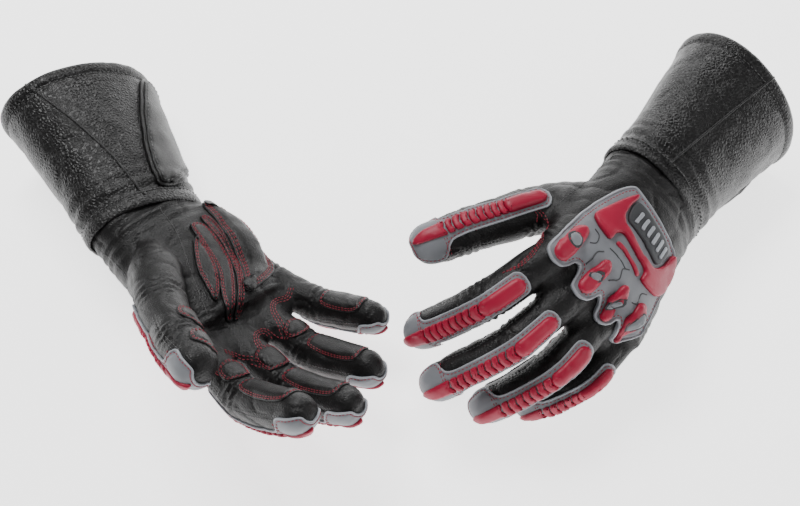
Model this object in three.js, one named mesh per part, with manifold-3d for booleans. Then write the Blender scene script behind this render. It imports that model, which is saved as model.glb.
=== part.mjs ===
// A pair of leather welding gloves with long gauntlet cuffs and moulded impact guards.
// Millimetres, +Z up. The left glove lies back up, the right one palm up.
// Each glove is built in its own frame: x towards the thumb, y towards the fingers, z out of the
// back of the hand, with the origin in the middle of the wrist. The right glove is a mirror copy.
import * as THREE from 'three';
import { mergeVertices } from 'three/addons/utils/BufferGeometryUtils.js';
import Module from 'manifold-3d';

const wasm = await Module();
wasm.setup();
const { Manifold } = wasm;

// ---------------------------------------------------------------- driving sizes
const GAP = 0.3; // clearance between touching pieces
const LEATHER = 2.6; // wall of the hand and fingers, outer leather with its liner
const CUFF_WALL = 3.0;
const LINING = 1.4;
const GUARD = 3.0; // thickness of the grey knuckle guard
const PAD = 2.6; // height of the red pads over the guard
const PATCH = 1.8; // palm and thumb reinforcement leather

const CUFF_LENGTH = 112;
const HAND_LENGTH = 112; // before the knuckle line is cut
const WRIST = { width: 40, height: 27 }; // half sizes
const HEM = { width: 54, height: 39 };
const KNUCKLE = { width: 50, height: 19 };

// knuckle positions, phalanx lengths and half widths of the digits
const FINGERS = {
  index: { base: [35, 95, 1], yaw: 8, tilt: -5, lengths: [53, 63], widths: [11.6, 12.4, 11.2] },
  middle: { base: [10, 97, 3], yaw: 1.5, tilt: 0, lengths: [56, 65], widths: [11.6, 12.4, 11.2] },
  ring: { base: [-15.4, 91, 1], yaw: -5, tilt: 3, lengths: [50, 60], widths: [11.6, 12.2, 11] },
  pinky: { base: [-39.6, 80, -4], yaw: -13, tilt: 8, lengths: [41, 52], widths: [10.8, 11.4, 10] },
};
const THUMB = { base: [24, 33, -15], lengths: [52, 42, 35], widths: [16.5, 15.5, 14.6, 13.2] };
const THUMB_ROOT = 9; // half width where the thumb's base leaves the palm
const LANE = 12.5; // half of the strip of hand that one finger takes

// how the stuffed gloves lie, in degrees
const LEFT = {
  name: 'left',
  mirror: 1,
  position: [163.4, 28.4, 56],
  azimuth: -121,
  elevation: 10,
  roll: -42,
  cuff: { yaw: -3, lift: 8 },
  bends: { index: [37, 30, 16], middle: [29, 24, 13], ring: [23, 28, 14], pinky: [26, 29, 16] },
  thumb: { yaw: 41, tilt: -32, bends: [14, 17, 7] },
};
const RIGHT = {
  name: 'right',
  mirror: -1,
  position: [-168.1, 19.4, 35.8],
  azimuth: -46.5,
  elevation: -1.5,
  roll: 154,
  cuff: { yaw: -11, lift: -6 },
  bends: { index: [6, 28, 16], middle: [6, 24, 14], ring: [7, 20, 12], pinky: [9, 20, 13] },
  thumb: { yaw: 40, tilt: -50, bends: [12, 8, 8] },
};
// how far each joint still curls from where it lies
const CURL = { knuckle: 20, middle: 22, thumbKnuckle: 10, thumbTip: 14, wrist: 16 };

// ---------------------------------------------------------------- materials
const leather = new THREE.MeshStandardMaterial({ color: 0x232220, roughness: 0.55, metalness: 0 });
const leatherPatch = new THREE.MeshStandardMaterial({ color: 0x2b2a28, roughness: 0.5, metalness: 0 });
const lining = new THREE.MeshStandardMaterial({ color: 0x8f8a80, roughness: 0.95, metalness: 0 });
const greyRubber = new THREE.MeshStandardMaterial({ color: 0x63686c, roughness: 0.6, metalness: 0 });
const redRubber = new THREE.MeshStandardMaterial({ color: 0xc42a44, roughness: 0.45, metalness: 0 });

// ---------------------------------------------------------------- helpers
const radians = THREE.MathUtils.degToRad;
const tan = (degrees) => Math.tan(radians(degrees));
const mix = THREE.MathUtils.lerp;

/** Closed triangle mesh to a manifold solid, turned inside out if it has to be. */
function toSolid(geometry) {
  const bare = new THREE.BufferGeometry();
  bare.setAttribute('position', geometry.getAttribute('position'));
  if (geometry.index) bare.setIndex(geometry.index);
  const merged = mergeVertices(bare, 1e-4);
  const point = merged.getAttribute('position').array;
  const corners = [];
  let volume = 0;
  for (let i = 0; i < merged.index.count; i += 3) {
    const [a, b, c] = [0, 1, 2].map((k) => merged.index.getX(i + k));
    if (a === b || b === c || c === a) continue;
    corners.push(a, b, c);
    const [p, q, r] = [a, b, c].map((v) => new THREE.Vector3().fromArray(point, 3 * v));
    volume += p.dot(q.cross(r));
  }
  if (volume < 0) corners.reverse();
  const mesh = new wasm.Mesh({
    numProp: 3,
    vertProperties: new Float32Array(point),
    triVerts: new Uint32Array(corners),
  });
  return new Manifold(mesh);
}

function toGeometry(solid) {
  const mesh = solid.getMesh();
  const geometry = new THREE.BufferGeometry();
  geometry.setAttribute('position', new THREE.Float32BufferAttribute(mesh.vertProperties, 3));
  geometry.setIndex(new THREE.Uint32BufferAttribute(mesh.triVerts, 1));
  return geometry;
}

/** A solid through oval stations { at, up, width, height }, closed by flat ends. */
function loft(stations, sides) {
  const last = stations.length - 1;
  const profile = [new THREE.Vector2(0, 0)];
  for (let i = 0; i <= last; i += 1) profile.push(new THREE.Vector2(1, i));
  profile.push(new THREE.Vector2(0, last));
  const geometry = new THREE.LatheGeometry(profile, sides);
  const position = geometry.getAttribute('position');
  for (let i = 0; i < position.count; i += 1) {
    const { at, up, width, height } = stations[Math.round(position.getY(i))];
    const across = position.getX(i) * width;
    const lift = position.getZ(i) * height;
    position.setXYZ(i, at.x + across, at.y + up.y * lift, at.z + up.z * lift);
  }
  return toSolid(geometry);
}

/**
 * Tube-like solid along +y that curls towards -z by `bend` degrees over `length`.
 * `sizes` are { width, height } at even steps; `grow` offsets the surface outwards.
 */
function limb({ length, bend = 0, sizes, grow = 0, before = 0, after = 0, domed = false, sides = 12 }) {
  const steps = Math.max(sizes.length - 1, Math.ceil(bend / 9));
  const tip = sizes[sizes.length - 1];
  const body = domed ? length - tip.height : length;
  const place = (s) => {
    const angle = radians(bend) * Math.min(Math.max(s / length, 0), 1);
    const up = new THREE.Vector3(0, Math.sin(angle), Math.cos(angle));
    if (bend === 0) return { at: new THREE.Vector3(0, s, 0), up };
    const radius = length / radians(bend);
    const at = new THREE.Vector3(0, radius * Math.sin(angle), radius * (Math.cos(angle) - 1));
    const past = Math.min(s, 0) + Math.max(s - length, 0);
    at.addScaledVector(new THREE.Vector3(0, Math.cos(angle), -Math.sin(angle)), past);
    return { at, up };
  };
  const stations = [];
  for (let i = 0; i <= steps; i += 1) {
    const t = i / steps;
    const slot = Math.min(Math.floor(t * (sizes.length - 1)), sizes.length - 2);
    const part = t * (sizes.length - 1) - slot;
    const width = mix(sizes[slot].width, sizes[slot + 1].width, part) + grow;
    const height = mix(sizes[slot].height, sizes[slot + 1].height, part) + grow;
    stations.push({ ...place(t * body), width, height });
  }
  if (before > 0) stations.unshift({ ...stations[0], ...place(-before) });
  if (after > 0) stations.push({ ...stations[steps + (before > 0)], ...place(length + after) });
  if (domed) {
    for (const turn of [38, 72]) {
      const shrink = Math.cos(radians(turn));
      const s = body + (tip.height + grow) * Math.sin(radians(turn));
      stations.push({ ...place(s), width: (tip.width + grow) * shrink, height: (tip.height + grow) * shrink });
    }
  }
  return loft(stations, sides);
}

/** V-shaped end cuts around a hinge across the limb, so that it can curl by the cut angles. */
function cutStart(solid, palm, back) {
  return solid
    .trimByPlane([0, Math.cos(radians(palm)), Math.sin(radians(palm))], GAP)
    .trimByPlane([0, Math.cos(radians(back)), -Math.sin(radians(back))], GAP);
}

function cutEnd(solid, length, palm, back) {
  return solid
    .trimByPlane([0, -Math.cos(radians(palm)), Math.sin(radians(palm))], GAP - length * Math.cos(radians(palm)))
    .trimByPlane([0, -Math.cos(radians(back)), -Math.sin(radians(back))], GAP - length * Math.cos(radians(back)));
}

/** Works on a solid as seen from another frame. */
function within(frame, solid, work) {
  return apply(work(apply(solid, frame.clone().invert())), frame);
}

/** Prism over an outline in the x-y plane, from z = low to z = high. */
function prism(outline, low, high) {
  const shape = new THREE.Shape(outline.map(([x, y]) => new THREE.Vector2(x, y)));
  const geometry = new THREE.ExtrudeGeometry(shape, { depth: high - low, bevelEnabled: false });
  geometry.translate(0, 0, low);
  return toSolid(geometry);
}

/** Outline with its corners rounded through a closed spline. */
function rounded(points, steps = 24) {
  const curve = new THREE.CatmullRomCurve3(points.map(([x, y]) => new THREE.Vector3(x, y, 0)), true, 'centripetal');
  return curve.getPoints(steps).slice(0, -1).map((p) => [p.x, p.y]);
}

function oval(x, y, width, length, steps = 10) {
  const points = [];
  for (let i = 0; i < steps; i += 1) {
    const angle = (2 * Math.PI * i) / steps;
    points.push([x + width * Math.cos(angle), y + length * Math.sin(angle)]);
  }
  return points;
}

function largestBody(solid) {
  return solid.decompose().reduce((best, body) => (body.volume() > best.volume() ? body : best));
}

function named(name, solid, material) {
  const mesh = new THREE.Mesh(toGeometry(largestBody(solid)), material);
  mesh.name = name;
  return mesh;
}

/** Group at a point whose y runs along a yawed direction and whose back leans by tilt. */
function digitFrame(base, yaw, tilt) {
  const along = new THREE.Vector3(Math.sin(radians(yaw)), Math.cos(radians(yaw)), 0);
  const back = new THREE.Vector3(-Math.sin(radians(tilt)), 0, Math.cos(radians(tilt)));
  back.addScaledVector(along, -back.dot(along)).normalize();
  const frame = new THREE.Matrix4().makeBasis(new THREE.Vector3().crossVectors(along, back), along, back);
  return frame.setPosition(...base);
}

const apply = (solid, matrix) => solid.transform(matrix.elements);

// ---------------------------------------------------------------- the wrist
/** Where the cuff points, away from the fingers. */
function cuffDirection({ cuff }) {
  const [yaw, lift] = [radians(cuff.yaw), radians(cuff.lift)];
  return new THREE.Vector3(Math.sin(yaw) * Math.cos(lift), -Math.cos(yaw) * Math.cos(lift), Math.sin(lift));
}

function frameAlong(along) {
  const back = new THREE.Vector3(0, 0, 1).addScaledVector(along, -along.z).normalize();
  return new THREE.Matrix4().makeBasis(new THREE.Vector3().crossVectors(along, back), along, back);
}

/** Halfway between the hand and the cuff, with x along the wrist's hinge. */
function wristFrame(glove) {
  return frameAlong(new THREE.Vector3(0, 1, 0).sub(cuffDirection(glove)).normalize());
}

const WRIST_NOTCH = CURL.wrist / 2;

// ---------------------------------------------------------------- surfaces of the hand
const HAND_SIZES = [
  WRIST,
  { width: 42, height: 25.5 },
  { width: 46, height: 23.5 },
  { width: 49, height: 21 },
  { ...KNUCKLE },
];

function handSurface(grow, beyond = 0) {
  return limb({ length: HAND_LENGTH, sizes: HAND_SIZES, grow, before: beyond, after: beyond, sides: 20 });
}

/** The base of the thumb, which the hand leather covers up to the thumb's knuckle. */
function thenarFrame(glove) {
  const { yaw, tilt, bends } = glove.thumb;
  return digitFrame(THUMB.base, yaw, tilt).multiply(new THREE.Matrix4().makeRotationX(-radians(bends[0])));
}

function thenarSurface(grow, after = 0) {
  const [bulge, knuckle] = THUMB.widths;
  const sizes = [THUMB_ROOT, bulge, bulge, knuckle].map((width) => ({ width, height: width }));
  return limb({ length: THUMB.lengths[0], sizes, grow, before: Math.max(grow, 0), after, sides: 14 });
}

/** What lies beyond one finger's knuckle, as seen from the hand. */
function knuckleCutter(finger, palm, inner, outer) {
  const reach = 60;
  const profile = [
    [-GAP, 0],
    [-GAP - reach * tan(palm), -reach],
    [reach, -reach],
    [reach, reach],
    [-GAP, reach],
  ];
  const cutter = prism(profile, inner, outer);
  // profile x runs along the finger, profile y along its back, depth across it
  const turn = new THREE.Matrix4().makeBasis(
    new THREE.Vector3(0, 1, 0),
    new THREE.Vector3(0, 0, 1),
    new THREE.Vector3(1, 0, 0),
  );
  return apply(cutter, digitFrame(finger.base, finger.yaw, 0).multiply(turn));
}

// each cut reaches a little way past its lane where the neighbouring knuckle lies further back
const LANES = {
  index: [-LANE, LANE + 4],
  middle: [-LANE - 3, LANE + 3],
  ring: [-LANE - 5, LANE + 0.6],
  pinky: [-2 * LANE, LANE + 1],
};

function handCutters(glove) {
  return Object.entries(FINGERS).map(([name, finger]) => {
    const palm = (glove.bends[name][0] + CURL.knuckle) / 2;
    return knuckleCutter(finger, palm, ...LANES[name]);
  });
}

function handOutside(glove) {
  const notch = (glove.thumb.bends[1] + CURL.thumbKnuckle) / 2;
  const thenar = cutEnd(thenarSurface(0), THUMB.lengths[0], notch, 0);
  return handSurface(0, 8).add(apply(thenar, thenarFrame(glove)));
}

function handShell(glove) {
  const frame = thenarFrame(glove);
  const outer = handOutside(glove);
  const inner = handSurface(-LEATHER, 14).add(apply(thenarSurface(-LEATHER, 5), frame));
  let shell = outer.subtract(inner);
  for (const cutter of handCutters(glove)) shell = shell.subtract(cutter);
  return within(wristFrame(glove), shell, (solid) => cutStart(solid, WRIST_NOTCH, WRIST_NOTCH));
}

/** A piece of an even layer over the hand between two heights. */
function handLayer(glove, outline, side, low, high) {
  const reach = 70;
  const span = side === 'back' ? [0, reach] : [-reach, 0];
  const layer = handSurface(high, high).subtract(handSurface(low, high + 5));
  const piece = layer.intersect(prism(outline, ...span));
  const thenar = apply(thenarSurface(low + GAP, 5), thenarFrame(glove));
  return piece.subtract(thenar).subtract(handOutside(glove));
}

// ---------------------------------------------------------------- outlines on the back of the hand
const GUARD_OUTLINE = [
  [28, 33], [33, 42], [37, 52], [40, 63], [42.5, 78], [43, 88], [40, 93], [35, 94], [30, 91], [27, 92],
  [24, 98], [19, 99.5], [14, 98], [10.5, 93], [6.5, 93], [3, 98], [-2, 99.5], [-7, 98], [-11, 93], [-15, 93],
  [-18, 97], [-24, 98], [-29, 94], [-32, 84], [-33, 68], [-33, 56], [-29, 45], [-23, 39.5], [-7, 38], [8, 37],
];
const ARCH_OUTLINE = [
  [24, 38.5], [28.5, 47], [33, 58], [36.5, 69], [35.5, 74.5], [31, 77.5], [24.5, 79], [22.5, 77], [22, 72],
  [18, 68.5], [10, 70], [0, 72], [-6.5, 73], [-8, 78.5], [-15.5, 78], [-25, 74.5], [-30, 67], [-31, 57],
  [-28, 47], [-22, 42], [-19.5, 46], [-17.5, 54], [-14, 61.5], [-8.5, 66], [4, 67], [15.5, 63.5], [21.5, 61],
  [24, 57], [24, 48],
];
const BUMPERS = { index: [36.5, 89], middle: [15, 92.5], ring: [-6, 92], pinky: [-24, 89] };

const PALM_OUTLINE = [
  [-12, 14], [4, 34], [18, 58], [27, 76], [30, 84], [18, 84], [-6, 82], [-30, 68], [-44, 52], [-44, 30], [-32, 15],
];
const THENAR_OUTLINE = [[-12, 16], [-5, 16], [-1, 28], [2, 42], [8, 56], [18, 68], [8, 66], [-4, 54], [-11, 40], [-14, 26]];

// ---------------------------------------------------------------- one glove
function fingerSizes(widths) {
  return widths.map((width) => ({ width, height: width * 1.08 }));
}

function segment({ length, bend = 0, sizes, start, end, domed = false }) {
  const outer = limb({ length, bend, sizes, domed });
  const inner = limb({ length, bend, sizes, grow: -LEATHER, before: 5, after: domed ? 0 : 5, domed });
  let shell = cutStart(outer.subtract(inner), start, 0);
  if (!domed) shell = cutEnd(shell, length, end, 0);
  return shell;
}

/** Ribbed rubber strip down the back of a fingertip segment. */
function strip(length, bend, sizes, width) {
  const outer = limb({ length, bend, sizes, grow: GUARD, domed: true });
  const inner = limb({ length, bend, sizes, grow: GAP, before: 5, domed: true });
  const reach = length + 10;
  const outline = [[-width, 5], [width, 5], [width * 0.85, reach], [-width * 0.85, reach]];
  const drop = bend > 0 ? length * Math.sin(radians(bend)) : 0;
  return outer.subtract(inner).intersect(prism(outline, -drop / 2, 60));
}

function digit(glove, name, frame, sizes, lengths, bends, curls) {
  const root = new THREE.Group();
  root.applyMatrix4(frame);
  const knuckle = new THREE.Group();
  knuckle.rotation.x = -radians(bends[0]);
  root.add(knuckle);
  const startNotch = (bends[0] + curls[0]) / 2;
  const middleNotch = (bends[1] + curls[1]) / 2;
  const near = segment({ length: lengths[0], sizes: sizes.slice(0, 2), start: startNotch, end: middleNotch });
  knuckle.add(named(`${glove.name}_${name}_sleeve`, near, leather));
  const middle = new THREE.Group();
  middle.position.y = lengths[0];
  middle.rotation.x = -radians(bends[1]);
  knuckle.add(middle);
  const far = segment({ length: lengths[1], bend: bends[2], sizes: sizes.slice(1), start: middleNotch, domed: true });
  middle.add(named(`${glove.name}_${name}_tip`, far, leather));
  const rib = strip(lengths[1], bends[2], sizes.slice(1), sizes[2].width * 0.62);
  middle.add(named(`${glove.name}_${name}_strip`, rib, redRubber));
  return root;
}

function cuffParts(glove) {
  const group = new THREE.Group();
  const frame = frameAlong(cuffDirection(glove));
  group.applyMatrix4(frame);
  const sizes = [WRIST, { width: 42.5, height: 30 }, { width: 47.5, height: 34.5 }, HEM];
  const surface = (grow, beyond) => limb({
    length: CUFF_LENGTH, sizes, grow, before: beyond, after: beyond, sides: 20,
  });
  const hinge = frame.clone().invert().multiply(wristFrame(glove));
  const tube = surface(0, 8).trimByPlane([0, -1, 0], -CUFF_LENGTH).subtract(surface(-CUFF_WALL, 14));
  const shell = within(hinge, tube, (solid) => cutEnd(solid, 0, WRIST_NOTCH, WRIST_NOTCH));
  group.add(named(`${glove.name}_gauntlet_cuff`, shell, leather));
  const sleeve = surface(-CUFF_WALL - GAP, 0).subtract(surface(-CUFF_WALL - GAP - LINING, 5));
  const trimmed = sleeve.trimByPlane([0, 1, 0], 12).trimByPlane([0, -1, 0], 8 - CUFF_LENGTH);
  group.add(named(`${glove.name}_cuff_lining`, trimmed, lining));
  // rounded double-leather patch on the little-finger side of the cuff
  const half = [];
  for (let i = 0; i <= 12; i += 1) {
    const angle = Math.PI * (i / 12 - 0.5);
    half.push([12 - 32 * Math.cos(angle), 66 + 43 * Math.sin(angle)]);
  }
  const outline = [...half, [30, 109], [30, 23]];
  const side = new THREE.Matrix4().makeRotationY(radians(130));
  const cover = surface(PATCH + 1.4, 0).subtract(surface(GAP, 5));
  const patch = cover.intersect(apply(prism(outline, 0, 90), side));
  group.add(named(`${glove.name}_gauntlet_drag_patch`, patch, leatherPatch));
  return group;
}

function gloveFrame({ position, azimuth, elevation, roll, mirror }) {
  const [a, e, r] = [azimuth, elevation, roll].map(radians);
  const along = new THREE.Vector3(Math.cos(e) * Math.cos(a), Math.cos(e) * Math.sin(a), Math.sin(e));
  const level = new THREE.Vector3().crossVectors(along, new THREE.Vector3(0, 0, 1)).normalize();
  const upright = new THREE.Vector3().crossVectors(level, along);
  const back = upright.multiplyScalar(Math.cos(r)).addScaledVector(level, Math.sin(r));
  const side = new THREE.Vector3().crossVectors(along, back).multiplyScalar(mirror);
  return new THREE.Matrix4().makeBasis(side, along, back).setPosition(...position);
}

function buildGlove(glove) {
  const hand = new THREE.Group();
  hand.applyMatrix4(gloveFrame(glove));
  hand.add(cuffParts(glove));
  hand.add(named(`${glove.name}_hand_shell`, handShell(glove), leather));

  const guard = handLayer(glove, GUARD_OUTLINE, 'back', GAP, GUARD);
  hand.add(named(`${glove.name}_knuckle_guard`, guard, greyRubber));
  const padSpan = [GUARD + GAP, GUARD + GAP + PAD];
  const arch = handLayer(glove, ARCH_OUTLINE, 'back', ...padSpan);
  hand.add(named(`${glove.name}_arch_bumper`, arch, redRubber));
  for (const [name, [x, y]] of Object.entries(BUMPERS)) {
    const bumper = handLayer(glove, oval(x, y, 6.2, 11.5), 'back', ...padSpan);
    hand.add(named(`${glove.name}_${name}_knuckle_bumper`, bumper, redRubber));
  }

  const palm = handLayer(glove, rounded(PALM_OUTLINE, 20), 'palm', GAP, PATCH);
  hand.add(named(`${glove.name}_palm_pad`, palm, leatherPatch));
  const thenar = handLayer(glove, rounded(THENAR_OUTLINE, 16), 'palm', PATCH + GAP, 2 * PATCH);
  hand.add(named(`${glove.name}_thenar_patch`, thenar, leatherPatch));

  for (const [name, finger] of Object.entries(FINGERS)) {
    const frame = digitFrame(finger.base, finger.yaw, finger.tilt);
    const sizes = fingerSizes(finger.widths);
    hand.add(digit(glove, name, frame, sizes, finger.lengths, glove.bends[name], [CURL.knuckle, CURL.middle]));
  }
  const knuckle = thenarFrame(glove).multiply(new THREE.Matrix4().makeTranslation(0, THUMB.lengths[0], 0));
  const thumbSizes = THUMB.widths.slice(1).map((width) => ({ width, height: width }));
  const curls = [CURL.thumbKnuckle, CURL.thumbTip];
  hand.add(digit(glove, 'thumb', knuckle, thumbSizes, THUMB.lengths.slice(1), glove.thumb.bends.slice(1), curls));
  return hand;
}

/** The gloves press flat where they lie, so nothing reaches below the table. */
function settle(pair) {
  pair.updateMatrixWorld(true);
  pair.traverse((mesh) => {
    if (!mesh.isMesh) return;
    const box = new THREE.Box3().setFromObject(mesh, true);
    if (box.min.z >= 0) return;
    const world = apply(toSolid(mesh.geometry), mesh.matrixWorld).trimByPlane([0, 0, 1], 0);
    mesh.geometry = toGeometry(apply(world, mesh.matrixWorld.clone().invert()));
  });
}

const pair = new THREE.Group();
pair.add(buildGlove(LEFT));
pair.add(buildGlove(RIGHT));
settle(pair);

export default pair;
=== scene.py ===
"""Looks of a pair of long-cuff leather welding gloves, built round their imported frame."""
import math

import bmesh
import bpy
from mathutils import Matrix, Vector, noise
from mathutils.bvhtree import BVHTree
from mathutils.kdtree import KDTree


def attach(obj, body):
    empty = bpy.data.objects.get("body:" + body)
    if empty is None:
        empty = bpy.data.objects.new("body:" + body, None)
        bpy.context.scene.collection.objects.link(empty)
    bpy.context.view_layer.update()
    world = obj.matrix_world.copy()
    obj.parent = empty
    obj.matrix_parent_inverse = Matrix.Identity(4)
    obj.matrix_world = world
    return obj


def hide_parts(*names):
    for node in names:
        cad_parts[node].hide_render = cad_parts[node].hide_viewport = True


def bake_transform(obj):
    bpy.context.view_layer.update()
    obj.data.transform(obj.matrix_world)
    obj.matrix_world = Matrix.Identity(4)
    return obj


bl_info = {
    "name": "Welding gloves",
    "version": (1, 0, 0),
    "blender": (4, 5, 0),
    "location": "View3D > Sidebar > Gloves",
    "description": "Builds a pair of leather welding gloves with moulded guards on a packed frame",
    "category": "Object",
}

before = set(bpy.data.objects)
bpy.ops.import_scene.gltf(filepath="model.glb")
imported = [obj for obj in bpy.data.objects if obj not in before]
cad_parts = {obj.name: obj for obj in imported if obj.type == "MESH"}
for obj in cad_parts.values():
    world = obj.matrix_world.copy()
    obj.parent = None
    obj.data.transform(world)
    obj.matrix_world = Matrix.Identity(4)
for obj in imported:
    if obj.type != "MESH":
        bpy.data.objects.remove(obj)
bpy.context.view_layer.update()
MM = 0.001

# ------------------------------------------------------------------ the gloves as they lie
# The same driving sizes as the frame, in millimetres and degrees.
CUFF_LENGTH = 112
CUFF_SIZES = [(0, 40, 27), (37.3, 42.5, 30), (74.7, 47.5, 34.5), (112, 54, 39)]
HAND_SIZES = [(0, 40, 27), (28, 42, 25.5), (56, 46, 23.5), (84, 49, 21), (112, 50, 19)]
FINGERS = {
    "index": {"base": (35, 95, 1), "yaw": 8, "tilt": -5, "lengths": (53, 63), "widths": (11.6, 12.4, 11.2)},
    "middle": {
        "base": (10, 97, 3), "yaw": 1.5, "tilt": 0, "lengths": (56, 65), "widths": (11.6, 12.4, 11.2),
    },
    "ring": {"base": (-15.4, 91, 1), "yaw": -5, "tilt": 3, "lengths": (50, 60), "widths": (11.6, 12.2, 11)},
    "pinky": {
        "base": (-39.6, 80, -4), "yaw": -13, "tilt": 8, "lengths": (41, 52), "widths": (10.8, 11.4, 10),
    },
}
THUMB = {"base": (24, 33, -15), "lengths": (52, 42, 35), "widths": (16.5, 15.5, 14.6, 13.2)}
POSES = {
    "left": {
        "mirror": 1, "position": (163.4, 28.4, 56), "azimuth": -121, "elevation": 10, "roll": -42,
        "cuff": (-3, 8),
        "bends": {
            "index": (37, 30, 16), "middle": (29, 24, 13), "ring": (23, 28, 14), "pinky": (26, 29, 16),
        },
        "thumb": {"yaw": 41, "tilt": -32, "bends": (14, 17, 7)},
    },
    "right": {
        "mirror": -1, "position": (-168.1, 19.4, 35.8), "azimuth": -46.5, "elevation": -1.5, "roll": 154,
        "cuff": (-11, -6),
        "bends": {"index": (6, 28, 16), "middle": (6, 24, 14), "ring": (7, 20, 12), "pinky": (9, 20, 13)},
        "thumb": {"yaw": 40, "tilt": -50, "bends": (12, 8, 8)},
    },
}
SLICE = 27  # distance past a knuckle where a finger's root piece meets its end piece
THUMB_SLICE = 17


def basis(x, y, z, at=(0, 0, 0)):
    """Matrix with these columns and origin."""
    matrix = Matrix((x, y, z)).transposed().to_4x4()
    matrix.translation = Vector(at)
    return matrix


def hand_frame(pose):
    """From a glove's own frame to the row frame, in millimetres."""
    a, e, r = (math.radians(pose[key]) for key in ("azimuth", "elevation", "roll"))
    along = Vector((math.cos(e) * math.cos(a), math.cos(e) * math.sin(a), math.sin(e)))
    level = along.cross(Vector((0, 0, 1))).normalized()
    back = level.cross(along) * math.cos(r) + level * math.sin(r)
    return basis(along.cross(back) * pose["mirror"], along, back, pose["position"])


def digit_frame(base, yaw, tilt):
    along = Vector((math.sin(math.radians(yaw)), math.cos(math.radians(yaw)), 0))
    back = Vector((-math.sin(math.radians(tilt)), 0, math.cos(math.radians(tilt))))
    back = (back - along * back.dot(along)).normalized()
    return basis(along.cross(back), along, back, base)


def cuff_frame(pose):
    yaw, lift = (math.radians(v) for v in pose["cuff"])
    along = Vector((math.sin(yaw) * math.cos(lift), -math.cos(yaw) * math.cos(lift), math.sin(lift)))
    back = (Vector((0, 0, 1)) - along * along.z).normalized()
    return basis(along.cross(back), along, back)


def smooth(t):
    t = min(max(t, 0.0), 1.0)
    return t * t * (3 - 2 * t)


def between(table, s):
    """Values at s in rows (s, value, value ...) that rise in s."""
    if s <= table[0][0]:
        return table[0][1:]
    for low, high in zip(table, table[1:]):
        if s <= high[0]:
            t = (s - low[0]) / (high[0] - low[0])
            return tuple(a + (b - a) * t for a, b in zip(low[1:], high[1:]))
    return table[-1][1:]


class Limb:
    """A curling tube: its centre line, its oval section and its rounded end."""

    def __init__(self, start, turns, sizes, low, high, domed):
        # start: frame at s = 0; turns: (place, spread, degrees) of each bend; sizes: rows (s, width, height)
        self.turns, self.sizes = turns, sizes
        self.low, self.high, self.domed = low, high, domed
        self.step = 0.5
        self.path = {}
        for way in (1, -1):
            at = start.translation.copy()
            count = int((high if way > 0 else -low) / self.step) + 2
            for i in range(count):
                s = way * i * self.step
                side = start.to_3x3() @ Matrix.Rotation(-math.radians(self.angle(s)), 3, "X")
                self.path[way * i] = basis(*side.transposed(), at)
                at = at + side.col[1] * self.step * way
        self.top = self.high - (between(sizes, high)[1] if domed else 0)

    def angle(self, s):
        total = 0
        for place, spread, degrees in self.turns:
            first = smooth((0 - place + spread) / (2 * spread))
            total += degrees * (smooth((s - place + spread) / (2 * spread)) - first)
        return total

    def at(self, s):
        return self.path[int(round(min(max(s, self.low), self.high) / self.step))]

    def stations(self, pace, grow=0.0):
        """(matrix, width, height) along the limb."""
        rows = []
        count = max(2, int((self.top - self.low) / pace))
        for i in range(count + 1):
            s = self.low + (self.top - self.low) * i / count
            width, height = between(self.sizes, s)
            rows.append((self.at(s), width + grow, height + grow))
        if self.domed:
            width, height = between(self.sizes, self.high)
            for turn in (18, 36, 52, 66, 78):
                c, q = math.cos(math.radians(turn)), math.sin(math.radians(turn))
                s = self.top + (self.high - self.top) * q
                rows.append((self.at(s), (width + grow) * c, (height + grow) * c))
        return rows

    def ray(self, a, s, palm=False):
        """Start and direction of the ray that meets the surface at arc a round the limb and length s."""
        width, height = between(self.sizes, s)
        turn = a / ((width + height) / 2) + (math.pi if palm else 0)
        centre = self.at(min(s, self.top))
        out = centre.col[0].xyz * math.sin(turn) + centre.col[2].xyz * math.cos(turn)
        if self.domed and s > self.top:
            over = min((s - self.top) / height, 1.5)
            out = out * math.cos(over) + centre.col[1].xyz * math.sin(over)
        return centre.translation.copy(), out.normalized()


# ------------------------------------------------------------------ mesh helpers
def loft(bm, stations, segments, caps=True):
    """Oval rings bridged into a tube."""
    loops = []
    for matrix, width, height in stations:
        ring = matrix @ Matrix(((width, 0, 0, 0), (0, 0, 1, 0), (0, height, 0, 0), (0, 0, 0, 1)))
        made = bmesh.ops.create_circle(bm, segments=segments, radius=1.0, matrix=ring)
        edges = {e for v in made["verts"] for e in v.link_edges}
        loops.append(list(edges))
    for first, second in zip(loops, loops[1:]):
        bmesh.ops.bridge_loops(bm, edges=first + second)
    if caps:
        for loop in (loops[0], loops[-1]):
            bmesh.ops.contextual_create(bm, geom=loop)
    return loops


def ball(bm, centre, radii, segments=20):
    matrix = Matrix.Translation(centre) @ Matrix.Diagonal((*radii, 1))
    bmesh.ops.create_uvsphere(bm, u_segments=segments, v_segments=segments // 2, radius=1.0, matrix=matrix)


def remeshed(bm, size):
    """The outer surface of overlapping closed shapes, as one even mesh."""
    bmesh.ops.recalc_face_normals(bm, faces=bm.faces)
    mesh = bpy.data.meshes.new("lump")
    bm.to_mesh(mesh)
    bm.free()
    lump = bpy.data.objects.new("lump", mesh)
    bpy.context.scene.collection.objects.link(lump)
    modifier = lump.modifiers.new("voxels", "REMESH")
    modifier.mode = "VOXEL"
    modifier.voxel_size = size
    graph = bpy.context.evaluated_depsgraph_get()
    graph.update()
    done = bpy.data.meshes.new_from_object(lump.evaluated_get(graph))
    out = bmesh.new()
    out.from_mesh(done)
    bpy.data.objects.remove(lump)
    bpy.data.meshes.remove(mesh)
    bpy.data.meshes.remove(done)
    return out


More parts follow.
